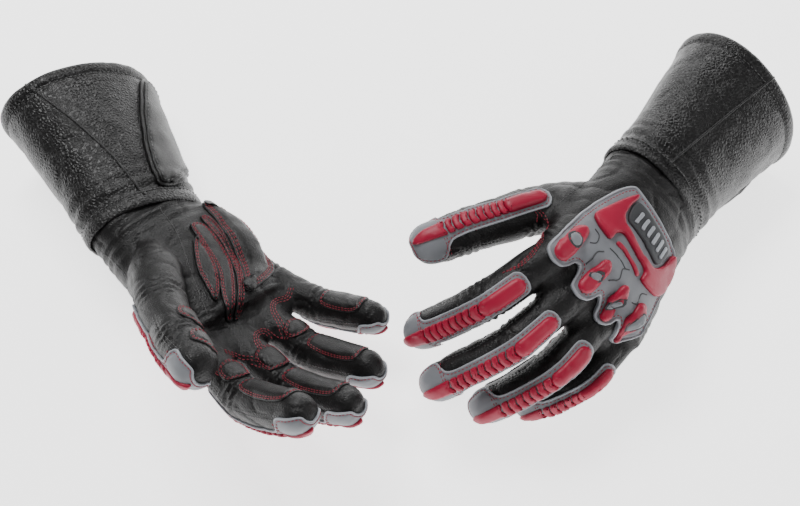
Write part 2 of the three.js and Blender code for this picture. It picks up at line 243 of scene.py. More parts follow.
def cut(bm, at, normal, keep, fill=True):
    """Keeps the part of a closed mesh on one side of a plane, and closes the cut."""
    geom = bm.verts[:] + bm.edges[:] + bm.faces[:]
    done = bmesh.ops.bisect_plane(
        bm, geom=geom, dist=1e-5, plane_co=at, plane_no=normal,
        clear_outer=keep == "below", clear_inner=keep == "above",
    )
    if fill:
        edges = [e for e in done["geom_cut"] if isinstance(e, bmesh.types.BMEdge) and e.is_valid]
        edges = [e for e in edges if len(e.link_faces) == 1]
        made = bmesh.ops.triangle_fill(bm, edges=edges, use_beauty=True, use_dissolve=False)
        for item in made["geom"]:
            if isinstance(item, bmesh.types.BMFace):
                item.smooth = False
                item.material_index = 1
    return bm


def closed_curve(points, count, tension=0.5):
    """Smooth closed curve through points, evenly resampled."""
    points = [Vector((p[0], p[1], 0)) for p in points]
    size = len(points)
    fine = []
    for i in range(size):
        p0, p1, p2, p3 = (points[(i + k) % size] for k in (-1, 0, 1, 2))
        m1, m2 = (p2 - p0) * tension, (p3 - p1) * tension
        for k in range(12):
            t = k / 12
            fine.append(
                p1 * (2 * t**3 - 3 * t**2 + 1) + m1 * (t**3 - 2 * t**2 + t)
                + p2 * (-2 * t**3 + 3 * t**2) + m2 * (t**3 - t**2)
            )
    return resample(fine + [fine[0]], count)[:-1]


def open_curve(points, count):
    points = [Vector((p[0], p[1], 0)) for p in points]
    ends = [points[0] * 2 - points[1]] + points + [points[-1] * 2 - points[-2]]
    fine = []
    for p0, p1, p2, p3 in zip(ends, ends[1:], ends[2:], ends[3:]):
        for k in range(12):
            t = k / 12
            fine.append(
                p1 * (2 * t**3 - 3 * t**2 + 1) + (p2 - p0) * 0.5 * (t**3 - 2 * t**2 + t)
                + p2 * (-2 * t**3 + 3 * t**2) + (p3 - p1) * 0.5 * (t**3 - t**2)
            )
    fine.append(points[-1])
    return resample(fine, count)


def resample(line, count):
    """count + 1 points evenly along a polyline."""
    spans = [0.0]
    for a, b in zip(line, line[1:]):
        spans.append(spans[-1] + (b - a).length)
    out, i = [], 0
    for k in range(count + 1):
        goal = spans[-1] * k / count
        while i < len(spans) - 2 and spans[i + 1] < goal:
            i += 1
        t = (goal - spans[i]) / max(spans[i + 1] - spans[i], 1e-9)
        out.append(line[i].lerp(line[i + 1], min(max(t, 0), 1)))
    return out


def offset_curve(points, distance, closed=True):
    """The curve moved sideways, to the inside where the distance is positive and the curve closed."""
    size = len(points)
    area = sum(
        points[i].x * points[(i + 1) % size].y - points[(i + 1) % size].x * points[i].y for i in range(size)
    )
    way = 1 if area > 0 else -1
    out = []
    for i, p in enumerate(points):
        before = points[i - 1] if closed or i > 0 else p
        after = points[(i + 1) % size] if closed or i < size - 1 else p
        run = (after - before).normalized()
        out.append(p + Vector((-run.y, run.x, 0)) * distance * way)
    return out


def rounded_box(x0, y0, x1, y1, radius=1.5, corner=4):
    points = []
    for cx, cy, start in ((x1 - radius, y1 - radius, 0), (x0 + radius, y1 - radius, 90),
                          (x0 + radius, y0 + radius, 180), (x1 - radius, y0 + radius, 270)):
        for k in range(corner + 1):
            turn = math.radians(start + 90 * k / corner)
            points.append(Vector((cx + radius * math.cos(turn), cy + radius * math.sin(turn), 0)))
    return points


def ellipse(x, y, a, b, count=20, power=1.0):
    points = []
    for k in range(count):
        turn = 2 * math.pi * k / count
        c, q = math.cos(turn), math.sin(turn)
        shape = lambda v: math.copysign(abs(v) ** power, v)
        points.append(Vector((x + a * shape(c), y + b * shape(q), 0)))
    return points


class Surface:
    """Where things are laid on: turns flat places (x, y) into a point and a normal on a mesh."""

    def __init__(self, tree, ray, inside, soft=None):
        self.tree, self.ray, self.inside, self.soft = tree, ray, inside, soft

    def place(self, point, height):
        origin, direction = self.ray(point.x, point.y)
        hit, normal, _, _ = self.tree.ray_cast(origin, direction)
        if hit is None:
            hit, normal, _, _ = self.tree.find_nearest(origin)
        if self.soft:
            normal = self.soft.at(hit)
        elif (normal.dot(direction) < 0) == self.inside:
            normal = -normal
        return hit + normal * height, normal


class Nearest:
    """Snaps points in space to a mesh."""

    def __init__(self, tree, soft):
        self.tree, self.soft = tree, soft

    def place(self, point, height):
        hit, _, _, _ = self.tree.find_nearest(point)
        normal = self.soft.at(hit)
        return hit + normal * height, normal


def overlay(surface, outline, steps, base=0.0, pitch=3.0):
    """A moulded or sewn-on piece: an outline that steps inwards and up, wrapped on a surface."""
    bm = bmesh.new()
    high = bm.verts.layers.float.new("high")
    for _ in range(2):
        bm.faces.new([bm.verts.new((p.x, p.y, 0)) for p in outline])
    for vert in bm.verts:
        vert[high] = steps[0][1]
    top = [bm.faces[:][0]]
    for step, height in steps[1:]:
        bmesh.ops.inset_region(
            bm, faces=top, thickness=step, depth=0, use_even_offset=False, use_boundary=True,
        )
        for vert in {v for f in top for v in f.verts}:
            vert[high] = height
    for axis in (0, 1):
        values = [p[axis] for p in outline]
        count = int((max(values) - min(values)) / pitch)
        normal = [1 - axis, axis, 0]
        for k in range(1, count + 1):
            at = [0, 0, 0]
            at[axis] = min(values) + (max(values) - min(values)) * k / (count + 1)
            bmesh.ops.bisect_plane(
                bm, geom=bm.verts[:] + bm.edges[:] + bm.faces[:], dist=1e-4, plane_co=at, plane_no=normal,
            )
    for vert in bm.verts:
        vert.co, _ = surface.place(vert.co, base + vert[high])
    bmesh.ops.remove_doubles(bm, verts=bm.verts, dist=0.1)
    bmesh.ops.recalc_face_normals(bm, faces=bm.faces)
    for f in bm.faces:
        f.smooth = True
    return bm


def stitches(pick, surface, line, height=0.15, pace=3.1, length=2.3, thick=0.62, closed=True):
    """A row of thread stitches laid along a curve. pick is a mesh, or gives the mesh for each place."""
    points = list(line) + ([line[0]] if closed else [])
    total = sum((b - a).length for a, b in zip(points, points[1:]))
    count = max(2, int(total / pace))
    marks = resample(points, count * 2)
    for k in range(count):
        a, b = marks[2 * k], marks[2 * k + 1].lerp(marks[2 * k + 2], 0.35)
        p, up = surface.place(a, height)
        q, _ = surface.place(b, height)
        run = q - p
        if run.length < 0.4 or run.length > 2.5 * length:
            continue
        run_n = run.normalized()
        across = up.cross(run_n).normalized()
        matrix = basis(
            run_n * length / 2, across * thick / 2, across.cross(run_n) * -thick / 2, (p + q) / 2,
        )
        if matrix.determinant() < 0:
            matrix = basis(
                run_n * length / 2, across * thick / 2, across.cross(run_n) * thick / 2, (p + q) / 2,
            )
        bm = pick(p) if callable(pick) else pick
        bmesh.ops.create_uvsphere(bm, u_segments=6, v_segments=5, radius=1.0, matrix=matrix)


def cord_line(bm, surface, line, radius, height=0.0, closed=False, sides=6):
    """A thin round welt along a flat curve."""
    points = list(line) + ([line[0]] if closed else [])
    rows = []
    places = [surface.place(p, height) for p in points]
    for i, (at, up) in enumerate(places):
        before = places[max(i - 1, 0)][0]
        after = places[min(i + 1, len(places) - 1)][0]
        run = (after - before).normalized()
        across = up.cross(run).normalized()
        rows.append((basis(across, run, run.cross(across) * -1, at), radius, radius))
    loft(bm, rows, sides, caps=not closed)


# ------------------------------------------------------------------ shader helpers
class Shade:
    """A socket of a shader tree, with arithmetic."""

    def __init__(self, tree, socket):
        self.tree, self.socket = tree, socket

    def _math(self, operation, other, flip=False):
        node = self.tree.nodes.new("ShaderNodeMath")
        node.operation = operation
        for slot, value in zip(node.inputs, (other, self) if flip else (self, other)):
            if isinstance(value, Shade):
                self.tree.links.new(value.socket, slot)
            else:
                slot.default_value = value
        return Shade(self.tree, node.outputs[0])

    def __add__(self, other): return self._math("ADD", other)
    def __radd__(self, other): return self._math("ADD", other, True)
    def __sub__(self, other): return self._math("SUBTRACT", other)
    def __rsub__(self, other): return self._math("SUBTRACT", other, True)
    def __mul__(self, other): return self._math("MULTIPLY", other)
    def __rmul__(self, other): return self._math("MULTIPLY", other, True)


class Paint:
    """A material and the nodes that feed it."""

    def __init__(self, name):
        self.material = bpy.data.materials.new(name)
        self.material.use_nodes = True
        self.tree = self.material.node_tree
        self.shader = self.tree.nodes["Principled BSDF"]
        self.place = self.node("ShaderNodeTexCoord")["Object"]

    def node(self, kind, settings=None, stops=None, **values):
        made = self.tree.nodes.new(kind)
        for key, value in (settings or {}).items():
            setattr(made, key, value)
        if stops:
            ramp = made.color_ramp
            ramp.elements[0].position, ramp.elements[0].color = stops[0]
            ramp.elements[1].position, ramp.elements[1].color = stops[-1]
            for position, colour in stops[1:-1]:
                ramp.elements.new(position).color = colour
        for key, value in values.items():
            slot = made.inputs[key.replace("_", " ")]
            if isinstance(value, Shade):
                self.tree.links.new(value.socket, slot)
            else:
                slot.default_value = value
        return {out.name: Shade(self.tree, out) for out in made.outputs if out.enabled}

    def set(self, **values):
        for key, value in values.items():
            slot = self.shader.inputs[key.replace("_", " ")]
            if isinstance(value, Shade):
                self.tree.links.new(value.socket, slot)
            else:
                slot.default_value = value

    def noise(self, scale, detail=3.0, rough=0.55):
        noise_node = self.node(
            "ShaderNodeTexNoise", Vector=self.place, Scale=scale, Detail=detail, Roughness=rough,
        )
        return noise_node["Fac"]

    def cells(self, scale, feature="DISTANCE_TO_EDGE", jitter=1.0):
        made = self.node(
            "ShaderNodeTexVoronoi", {"feature": feature}, Vector=self.place, Scale=scale, Randomness=jitter,
        )
        return made["Distance"]

    def ramp(self, fac, stops):
        return self.node("ShaderNodeValToRGB", stops=stops, Fac=fac)["Color"]

    def bump(self, height, distance, strength=1.0):
        bump_node = self.node("ShaderNodeBump", Height=height, Distance=distance, Strength=strength)
        self.set(Normal=bump_node["Normal"])


def linear(colour):
    parts = tuple(c / 12.92 if c <= 0.04045 else ((c + 0.055) / 1.055) ** 2.4 for c in colour[:3])
    return parts + (1.0,)


def shade(colour, factor):
    return tuple(min(c * factor, 1.0) for c in colour[:3]) + (1.0,)


def leather_paint(name, colour, cell, depth, rough, coat=0.0):
    """Grained leather: rounded pebbles between fine creases, with worn, uneven shine."""
    paint = Paint(name)
    pebble = paint.cells(cell)
    fine = paint.noise(cell * 3.1, 2.0)
    broad = paint.noise(28, 3.0)
    fold = paint.noise(90, 4.0, 0.65)
    tone = paint.ramp(broad * 0.7 + fold * 0.3, [
        (0.3, shade(colour, 0.72)), (0.55, colour), (0.78, shade(colour, 1.5)),
    ])
    paint.set(Base_Color=tone, Roughness=rough + broad * 0.22 - fold * 0.12)
    paint.set(Coat_Weight=coat, Coat_Roughness=0.32, Specular_IOR_Level=0.36)
    height = pebble * 1.5 + fine * 0.12 + fold * 1.0
    paint.bump(height, depth)
    return paint.material


def rubber_paint(name, colour, rough, worn=1.25):
    """Moulded rubber with a fine matt skin and faint scuffs."""
    paint = Paint(name)
    grain = paint.noise(1400, 2.0)
    cloud = paint.noise(45, 4.0)
    tone = paint.ramp(cloud, [(0.3, shade(colour, 0.86)), (0.55, colour), (0.75, shade(colour, worn))])
    paint.set(Base_Color=tone, Roughness=rough + cloud * 0.16 + grain * 0.06)
    paint.set(Specular_IOR_Level=0.45)
    paint.bump(grain * 0.5 + paint.noise(240, 3.0) * 0.5, 0.00012)
    return paint.material


def thread_paint(name, colour):
    """Twisted thread."""
    paint = Paint(name)
    twist = paint.noise(2600, 1.0)
    paint.set(
        Base_Color=paint.ramp(twist, [(0.35, shade(colour, 0.6)), (0.7, shade(colour, 1.15))]),
        Roughness=0.7,
    )
    paint.set(Sheen_Weight=0.3)
    paint.bump(twist, 0.0002)
    return paint.material


def fleece_paint(name, colour):
    """Brushed fleece lining."""
    paint = Paint(name)
    pile = paint.noise(900, 4.0, 0.7)
    cloud = paint.noise(70, 3.0)
    tone = paint.ramp(pile * 0.6 + cloud * 0.4, [(0.3, shade(colour, 0.55)), (0.7, colour)])
    paint.set(Base_Color=tone, Roughness=0.95)
    paint.set(Sheen_Weight=0.4)
    paint.bump(pile, 0.0006)
    return paint.material


FINISHES = {}


def finish_named(name):
    if not FINISHES:
        look = bpy.context.scene.glove_looks
        black = linear(look.leather)
        grey, red = linear(look.guard_grey), linear(look.guard_red)
        FINISHES.update({
            "leather": leather_paint("black_leather", black, 620, 0.00026, 0.4),
            "cuff_leather": leather_paint("cuff_leather", black, 430, 0.0006, 0.34, 0.1),
            "patch_leather": leather_paint("patch_leather", shade(black, 1.1), 820, 0.00026, 0.34, 0.06),
            "lining": fleece_paint("fleece_lining", linear(look.lining)),
            "grey_rubber": rubber_paint("grey_rubber", grey, 0.42),
            # the guard grey darkened to 0.22 as painted shade, for the grooves, the rings round the buttons
            # and the tablet
            "painted_shade_rubber": rubber_paint("painted_shade_rubber", shade(grey, 0.22), 0.5),
            # the guard grey lightened to 1.7 as painted highlight, for raised rims and ribs
            "painted_highlight_rubber": rubber_paint("painted_highlight_rubber", shade(grey, 1.7), 0.45),
            "red_rubber": rubber_paint("red_rubber", red, 0.34, 1.12),
            "red_thread": thread_paint("red_thread", linear(look.red_thread)),
            "grey_thread": thread_paint("grey_thread", linear(look.grey_thread)),
        })
    return FINISHES[name]


# ------------------------------------------------------------------ one glove's shapes
class Memory:
    """The normals of a whole piece, to hide the seams where it is cut."""

    def __init__(self, bm, rounds=0):
        bm.normal_update()
        bm.verts.index_update()
        self.normals = [vert.normal.copy() for vert in bm.verts]
        near = []
        if rounds:
            near = [[edge.other_vert(vert).index for edge in vert.link_edges] for vert in bm.verts]
        for _ in range(rounds):
            before = self.normals
            self.normals = [sum((before[i] for i in ring), before[k]) for k, ring in enumerate(near)]
            for normal in self.normals:
                normal.normalize()
        self.tree = KDTree(len(self.normals))
        for i, vert in enumerate(bm.verts):
            self.tree.insert(vert.co, i)
        self.tree.balance()

    def at(self, place):
        return self.normals[self.tree.find(place)[1]]


class Glove:
    """Surfaces, frames and bodies of one glove. Everything is in its own frame, in millimetres."""

    def __init__(self, side):
        self.side, self.pose = side, POSES[side]
        self.frame = hand_frame(self.pose)
        self.limbs = {}
        for name, finger in FINGERS.items():
            self.limbs[name] = self.finger_limb(finger, self.pose["bends"][name])
        self.limbs["thumb"] = self.thumb_limb()
        self.cuff = cuff_frame(self.pose)
        self.build_skin()

    def finger_limb(self, finger, bends):
        start = digit_frame(finger["base"], finger["yaw"], finger["tilt"])
        start = start @ Matrix.Rotation(-math.radians(bends[0] / 2), 4, "X")
        near, far = finger["lengths"]
        w0, w1, w2 = finger["widths"]
        length = near + far
        sizes = [
            (-20, w0 - 1, w0 - 1), (0, w0, w0 * 1.1), (near * 0.55, w0 * 1.02, w0 * 1.04),
            (near, w1, w1 * 1.06), (near + far * 0.4, w1 * 0.95, w1 * 1.0),
            (length - w2 * 1.2, w2 * 1.03, w2 * 1.06),
            (length, w2, w2 * 1.08),
        ]
        turns = [(0, 10, bends[0]), (near, 10, bends[1]), (near + far * 0.5, far * 0.5, bends[2])]
        return Limb(start, turns, sizes, -18, length, True)

    def thumb_limb(self):
        thumb = self.pose["thumb"]
        root = digit_frame(THUMB["base"], thumb["yaw"], thumb["tilt"])
        root = root @ Matrix.Rotation(-math.radians(thumb["bends"][0]), 4, "X")
        back, near, far = THUMB["lengths"]
        bulge, knuckle, middle, tip = THUMB["widths"]
        start = root @ Matrix.Translation((0, back, 0)) @ Matrix.Rotation(
            -math.radians(thumb["bends"][1] / 2), 4, "X",
        )
        length = near + far
        sizes = [
            (-back, 9, 9), (-back * 0.6, bulge, bulge), (-back * 0.3, bulge, bulge), (0, knuckle, knuckle),
            (near * 0.5, middle * 0.98, middle * 0.98), (near, middle, middle),
            (length - 14, tip, tip * 0.98),
            (length, tip, tip),
        ]
        turns = [(0, 10, thumb["bends"][1]), (near, 10, thumb["bends"][2])]
        return Limb(start, turns, sizes, -back, length, True)

    def webs(self):
        """Frames halfway between neighbouring fingers, at their knuckles."""
        names = list(FINGERS)
        for a, b in zip(names, names[1:]):
            p, q = self.limbs[a].at(0), self.limbs[b].at(0)
            ahead = (self.limbs[a].at(12).col[1].xyz + self.limbs[b].at(12).col[1].xyz).normalized()
            back = (self.limbs[a].at(12).col[2].xyz + self.limbs[b].at(12).col[2].xyz).normalized()
            back = (back - ahead * back.dot(ahead)).normalized()
            yield basis(ahead.cross(back), ahead, back, (p.translation + q.translation) / 2)

    def build_skin(self):
        bm = bmesh.new()
        stations = []
        for i in range(16):
            s = -16 + 7.5 * i
            width, height = between(HAND_SIZES, s)
            lean = min(max((s - 60) / 40, 0), 1) * 0.02
            stations.append((Matrix.Translation((-lean, s, 0)), width, height))
        loft(bm, stations, 36)
        for limb in self.limbs.values():
            loft(bm, limb.stations(3.5), 20)
        for web in self.webs():
            rows = []
            for s, width, height in (
                (-16, 9, 12), (0, 9, 11.5), (12, 8.5, 10), (20, 7.5, 8), (25, 5.5, 5.5), (27.5, 2.5, 2.5),
            ):
                rows.append((web @ Matrix.Translation((0, s, -1)), width, height))
            loft(bm, rows, 16)
        ball(bm, (-27, 44, -12), (19, 36, 14.5))
        ball(bm, (-6, 84, -8), (40, 17, 13))
        ball(bm, (38, 62, -8), (15, 26, 11))
        skin = remeshed(bm, 1.7)
        for _ in range(7):
            bmesh.ops.smooth_vert(
                skin, verts=skin.verts, factor=0.5, use_axis_x=True, use_axis_y=True, use_axis_z=True,
            )
        skin.normal_update()
        self.wrinkle(skin)
        skin.normal_update()
        self.skin = skin
        self.tree = BVHTree.FromBMesh(skin)
        self.memory = Memory(skin)
        self.soft = Memory(skin, 7)

    def wrinkle(self, bm):
        """Soft dents, drawn creases and folds across the joints."""
        moves = []
        shift = Vector((7.3, 1.1, 4.2)) * (1 if self.side == "left" else 2)
        joints = []
        for name, limb in self.limbs.items():
            near = THUMB["lengths"][1] if name == "thumb" else FINGERS[name]["lengths"][0]
            for s in (0, near):
                joints.append(limb.at(s))
        for vert in bm.verts:
            p = vert.co * 0.03 + shift
            move = 0.8 * noise.noise(p) + 0.35 * noise.noise(p * 2.7)
            crease = 1 - abs(noise.noise(vert.co * 0.055 + shift * 2)) * 4
            if crease > 0:
                move -= 0.7 * crease * crease
            for at in joints:
                local = at.inverted() @ vert.co
                if abs(local.y) > 16 or abs(local.x) > 18 or abs(local.z) > 20:
                    continue
                fade = math.exp(-(local.y / 7) ** 2) * (1.0 if local.z < 4 else 0.45)
                wave = math.sin(local.y * 1.25 + 1.5 * noise.noise(vert.co * 0.1 + shift))
                move += 0.5 * fade * wave
            if vert.co.y < 34:
                fade = math.exp(-((vert.co.y - 10) / 14) ** 2)
                move += 0.6 * fade * math.sin(vert.co.y * 0.75 + 2.2 * noise.noise(vert.co * 0.04 + shift))
            moves.append(move)
        for vert, move in zip(bm.verts, moves):
            vert.co = vert.co + vert.normal * move

    # surfaces for laying pieces on
    def back(self):
        return Surface(self.tree, lambda x, y: (Vector((x, y, 60)), Vector((0, 0, -1))), False, self.soft)

    def palm(self):
        return Surface(self.tree, lambda x, y: (Vector((x, y, -70)), Vector((0, 0, 1))), False, self.soft)

    def limb_surface(self, name, palm=False):
        limb = self.limbs[name]
        return Surface(self.tree, lambda a, s: limb.ray(a, s, palm), True, self.soft)

    # names of bodies
    def body(self, part):
        return f"{self.side}_{part}"

    def digit_bodies(self, name):
        stem = "thumb" if name == "thumb" else f"{name}_finger"
        return self.body("hand"), self.body(f"{stem}_root"), self.body(f"{stem}_end")

    def publish(self, bm, name, finish, follow, replaces=(), inner=None, memory=None):
        """Turns a finished shape into an object of the row, and ties it to its body when one body is given.
        """
        world = Matrix.Diagonal((MM, MM, MM, 1)) @ self.frame
        if memory:
            wanted = []
            bm.faces.index_update()
            for face in bm.faces:
                for loop in face.loops:
                    if face.smooth:
                        wanted.append(world.to_3x3() @ memory.at(loop.vert.co))
                    else:
                        wanted.append(world.to_3x3() @ face.normal)
        bm.transform(world)
        for vert in bm.verts:
            vert.co.z = max(vert.co.z, 0.0003)
        if world.determinant() < 0 and not memory:
            bmesh.ops.reverse_faces(bm, faces=bm.faces)
        mesh = bpy.data.meshes.new(f"{self.side}_{name}")
        bm.to_mesh(mesh)
        bm.free()
        mesh.materials.append(finish_named(finish))
        if inner:
            mesh.materials.append(finish_named(inner))
        if memory:
            if world.determinant() < 0:
                wanted_by_loop = {}
                order = 0
                for polygon in mesh.polygons:
                    for loop in polygon.loop_indices:
                        wanted_by_loop[(polygon.index, mesh.loops[loop].vertex_index)] = wanted[order]
                        order += 1
                mesh.flip_normals()
                wanted = [
                    wanted_by_loop[(polygon.index, mesh.loops[loop].vertex_index)]
                    for polygon in mesh.polygons for loop in polygon.loop_indices
                ]
            mesh.normals_split_custom_set([tuple(v.normalized()) for v in wanted])
        thing = bpy.data.objects.new(f"{self.side}_{name}", mesh)
        bpy.context.scene.collection.objects.link(thing)
        if isinstance(follow, str):
            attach(thing, follow)
        else:
            a, b, start, end = follow
            world @ Vector(start)
            world @ Vector(end)
            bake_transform(thing)
        if replaces:
            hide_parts(*[f"{self.side}_{node}" for node in replaces])
        return thing

    def follow_root(self, name):
        """The hand and a digit's root, with points either side of its knuckle."""
        hand, root, _ = self.digit_bodies(name)
        limb = self.limbs[name]
        return hand, root, limb.at(-9).translation, limb.at(13).translation

    def follow_end(self, name):
        """A digit's root and end, with points either side of its middle joint."""
        _, root, end = self.digit_bodies(name)
        limb = self.limbs[name]
        near = THUMB["lengths"][1] if name == "thumb" else FINGERS[name]["lengths"][0]
        return root, end, limb.at(near - 10).translation, limb.at(near + 10).translation

    def follow_wrist(self):
        return self.body("cuff"), self.body("hand"), (0, -9, 0), (0, 9, 0)


GLOVES = {}


def gloves():
    if not GLOVES:
        for side in POSES:
            GLOVES[side] = Glove(side)
    return list(GLOVES.values())


# ------------------------------------------------------------------ the leather
def knuckle_plane(glove):
    """A place and a direction: behind it is the hand, ahead of it the fingers."""
    first, last = glove.limbs["index"].at(0), glove.limbs["pinky"].at(0)
    row = first.translation - last.translation
    row.z = 0
    ahead = Vector((0, 0, 1)).cross(row).normalized()
    return first.translation - ahead * 11, ahead


def region(glove, point):
    """The finger or hand that a place on the skin is sorted to, and whether past its middle joint."""
    thumb = glove.limbs["thumb"]
    start = thumb.at(-11)
    ahead_of_root = (point - start.translation).dot(start.col[1].xyz) > 0
    if ahead_of_root and (point - thumb.at(10).translation).length < 75:
        near_index = min((point - glove.limbs["index"].at(s).translation).length for s in range(-6, 60, 6))
        near_thumb = min((point - thumb.at(s).translation).length for s in range(-12, 78, 6))
        if near_thumb < near_index:
            slice_at = thumb.at(THUMB_SLICE)
            return "thumb", (point - slice_at.translation).dot(slice_at.col[1].xyz) > 0
    at, ahead = knuckle_plane(glove)
    if (point - at).dot(ahead) < 0:
        return "hand", False
    name = "index"
    for web, following in zip(glove.webs(), ("middle", "ring", "pinky")):
        if (point - web.translation).dot(web.col[0].xyz) < 0:
            name = following
    slice_at = glove.limbs[name].at(SLICE)
    return name, (point - slice_at.translation).dot(slice_at.col[1].xyz) > 0


class Threads:
    """Stitches sorted by the part they lie on: by place, or by which half of one digit they are on."""

    def __init__(self, glove, digit=None):
        self.glove, self.digit, self.meshes = glove, digit, {}

    def __call__(self, point):
        key = region(self.glove, point)
        if self.digit:
            at = self.glove.limbs[self.digit].at(THUMB_SLICE if self.digit == "thumb" else SLICE)
            key = self.digit, (point - at.translation).dot(at.col[1].xyz) > 0
        if key not in self.meshes:
            self.meshes[key] = bmesh.new()
        return self.meshes[key]

    def publish(self, name, finish):
        for (part, past), bm in self.meshes.items():
            if part == "hand":
                follow = self.glove.body("hand")
            else:
                follow = self.glove.follow_end(part) if past else self.glove.follow_root(part)
            self.glove.publish(bm, f"{name}_{part}{'_end' if past else ''}", finish, follow)


def publish_split(glove, bm, name, finish, replaces=()):
    """Cuts a piece that lies over the knuckles into a part tied to the hand and a part at each finger's root.
    """
    at, ahead = knuckle_plane(glove)
    memory = Memory(bm)
    webs = list(glove.webs())
    made = [glove.publish(
        cut(bm.copy(), at, ahead, "below"), name, finish, glove.body("hand"), replaces, finish, memory,
    )]
    for i, finger in enumerate(FINGERS):
        piece = cut(bm.copy(), at, ahead, "above")
        if i > 0:
            piece = cut(piece, webs[i - 1].translation, webs[i - 1].col[0].xyz, "below")
        if i < len(webs):
            piece = cut(piece, webs[i].translation, webs[i].col[0].xyz, "above")
        if len(piece.faces) > 4:
            made.append(glove.publish(
                piece, f"{name}_{finger}", finish, glove.follow_root(finger), (), finish, memory,
            ))
        else:
            piece.free()
    bm.free()


def build_leather(glove):
    """Splits the skin into the hand, the finger roots and the fingertips."""
    fingers = list(FINGERS)
    knuckle_at, ahead = knuckle_plane(glove)
    thumb, index = glove.limbs["thumb"], glove.limbs["index"]
    middle = (thumb.at(2).translation + index.at(-6).translation) / 2
    bisector = (thumb.at(20).col[1].xyz + index.at(20).col[1].xyz).normalized()
    across = (thumb.at(20).translation - index.at(20).translation)
    thumbward = (across - bisector * across.dot(bisector)).normalized()
    thumb_at, thumb_ahead = thumb.at(-11).translation, thumb.at(-11).col[1].xyz

    thumb_part = cut(glove.skin.copy(), middle, thumbward, "above")
    thumb_part = cut(thumb_part, thumb_at, thumb_ahead, "above")
    palm_side = cut(glove.skin.copy(), middle, thumbward, "above", fill=False)
    palm_side = cut(palm_side, thumb_at, thumb_ahead, "below")
    core = cut(glove.skin.copy(), middle, thumbward, "below", fill=False)
    core = cut(core, knuckle_at, ahead, "below")
    spare = bpy.data.meshes.new("spare")
    palm_side.to_mesh(spare)
    core.from_mesh(spare)
    bpy.data.meshes.remove(spare)
    palm_side.free()
    bmesh.ops.remove_doubles(core, verts=core.verts, dist=0.02)
    # open at the wrist, where the hand goes in
    core = cut(core, (0, -13, 0), (0, 1, 0), "above", fill=False)
    glove.publish(
        core, "hand_leather", "leather", glove.follow_wrist(), ["hand_shell"], "leather", glove.memory,
    )

    finger_part = cut(glove.skin.copy(), middle, thumbward, "below")
    finger_part = cut(finger_part, knuckle_at, ahead, "above")
    webs = list(glove.webs())
    for i, name in enumerate(fingers):
        piece = finger_part.copy()
        if i > 0:
            piece = cut(piece, webs[i - 1].translation, webs[i - 1].col[0].xyz, "below")
        if i < len(webs):
            piece = cut(piece, webs[i].translation, webs[i].col[0].xyz, "above")
        split_digit(glove, name, piece, SLICE)
    finger_part.free()
    split_digit(glove, "thumb", thumb_part, THUMB_SLICE)


def split_digit(glove, name, piece, place):
    at = glove.limbs[name].at(place)
    root = cut(piece.copy(), at.translation, at.col[1].xyz, "below")
    end = cut(piece, at.translation, at.col[1].xyz, "above")
    glove.publish(
        root, f"{name}_root_leather", "leather", glove.follow_root(name), [f"{name}_sleeve"],
        "leather", glove.memory,
    )
    glove.publish(
        end, f"{name}_end_leather", "leather", glove.follow_end(name), [f"{name}_tip"], "leather",
        glove.memory,
    )


# ------------------------------------------------------------------ the gauntlet
def cuff_point(glove, s, grow):
    width, height = between(CUFF_SIZES, s)
    return glove.cuff @ Matrix.Translation((0, s, 0)), width + grow, height + grow


def cuff_wrinkle(bm, glove, hem):
    shift = Vector((3, 8, 1)) * (1 if glove.side == "left" else 3)
    bm.normal_update()
    inverse = glove.cuff.inverted()
    moves = []
    for vert in bm.verts:
        s = (inverse @ vert.co).y
        move = 1.3 * noise.noise(vert.co * 0.022 + shift) + 0.5 * noise.noise(vert.co * 0.06 + shift)
        fade = math.exp(-((s - 12) / 13) ** 2)
        move += 0.8 * fade * math.sin(s * 0.6 + 3.0 * noise.noise(vert.co * 0.03 + shift))
        crease = 1 - abs(noise.noise(vert.co * 0.05 + shift * 3)) * 5
        if crease > 0:
            move -= 0.55 * crease
        moves.append(move * (1 if s < hem - 14 else 0.6))
    for vert, move in zip(bm.verts, moves):
        vert.co = vert.co + vert.normal * move


def flatten(bm, glove):
    """Presses a glove's underside flat on the table."""
    inverse = glove.frame.inverted()
    for vert in bm.verts:
        place = glove.frame @ vert.co
        if place.z < 0.3:
            place.z = 0.3
            vert.co = inverse @ place


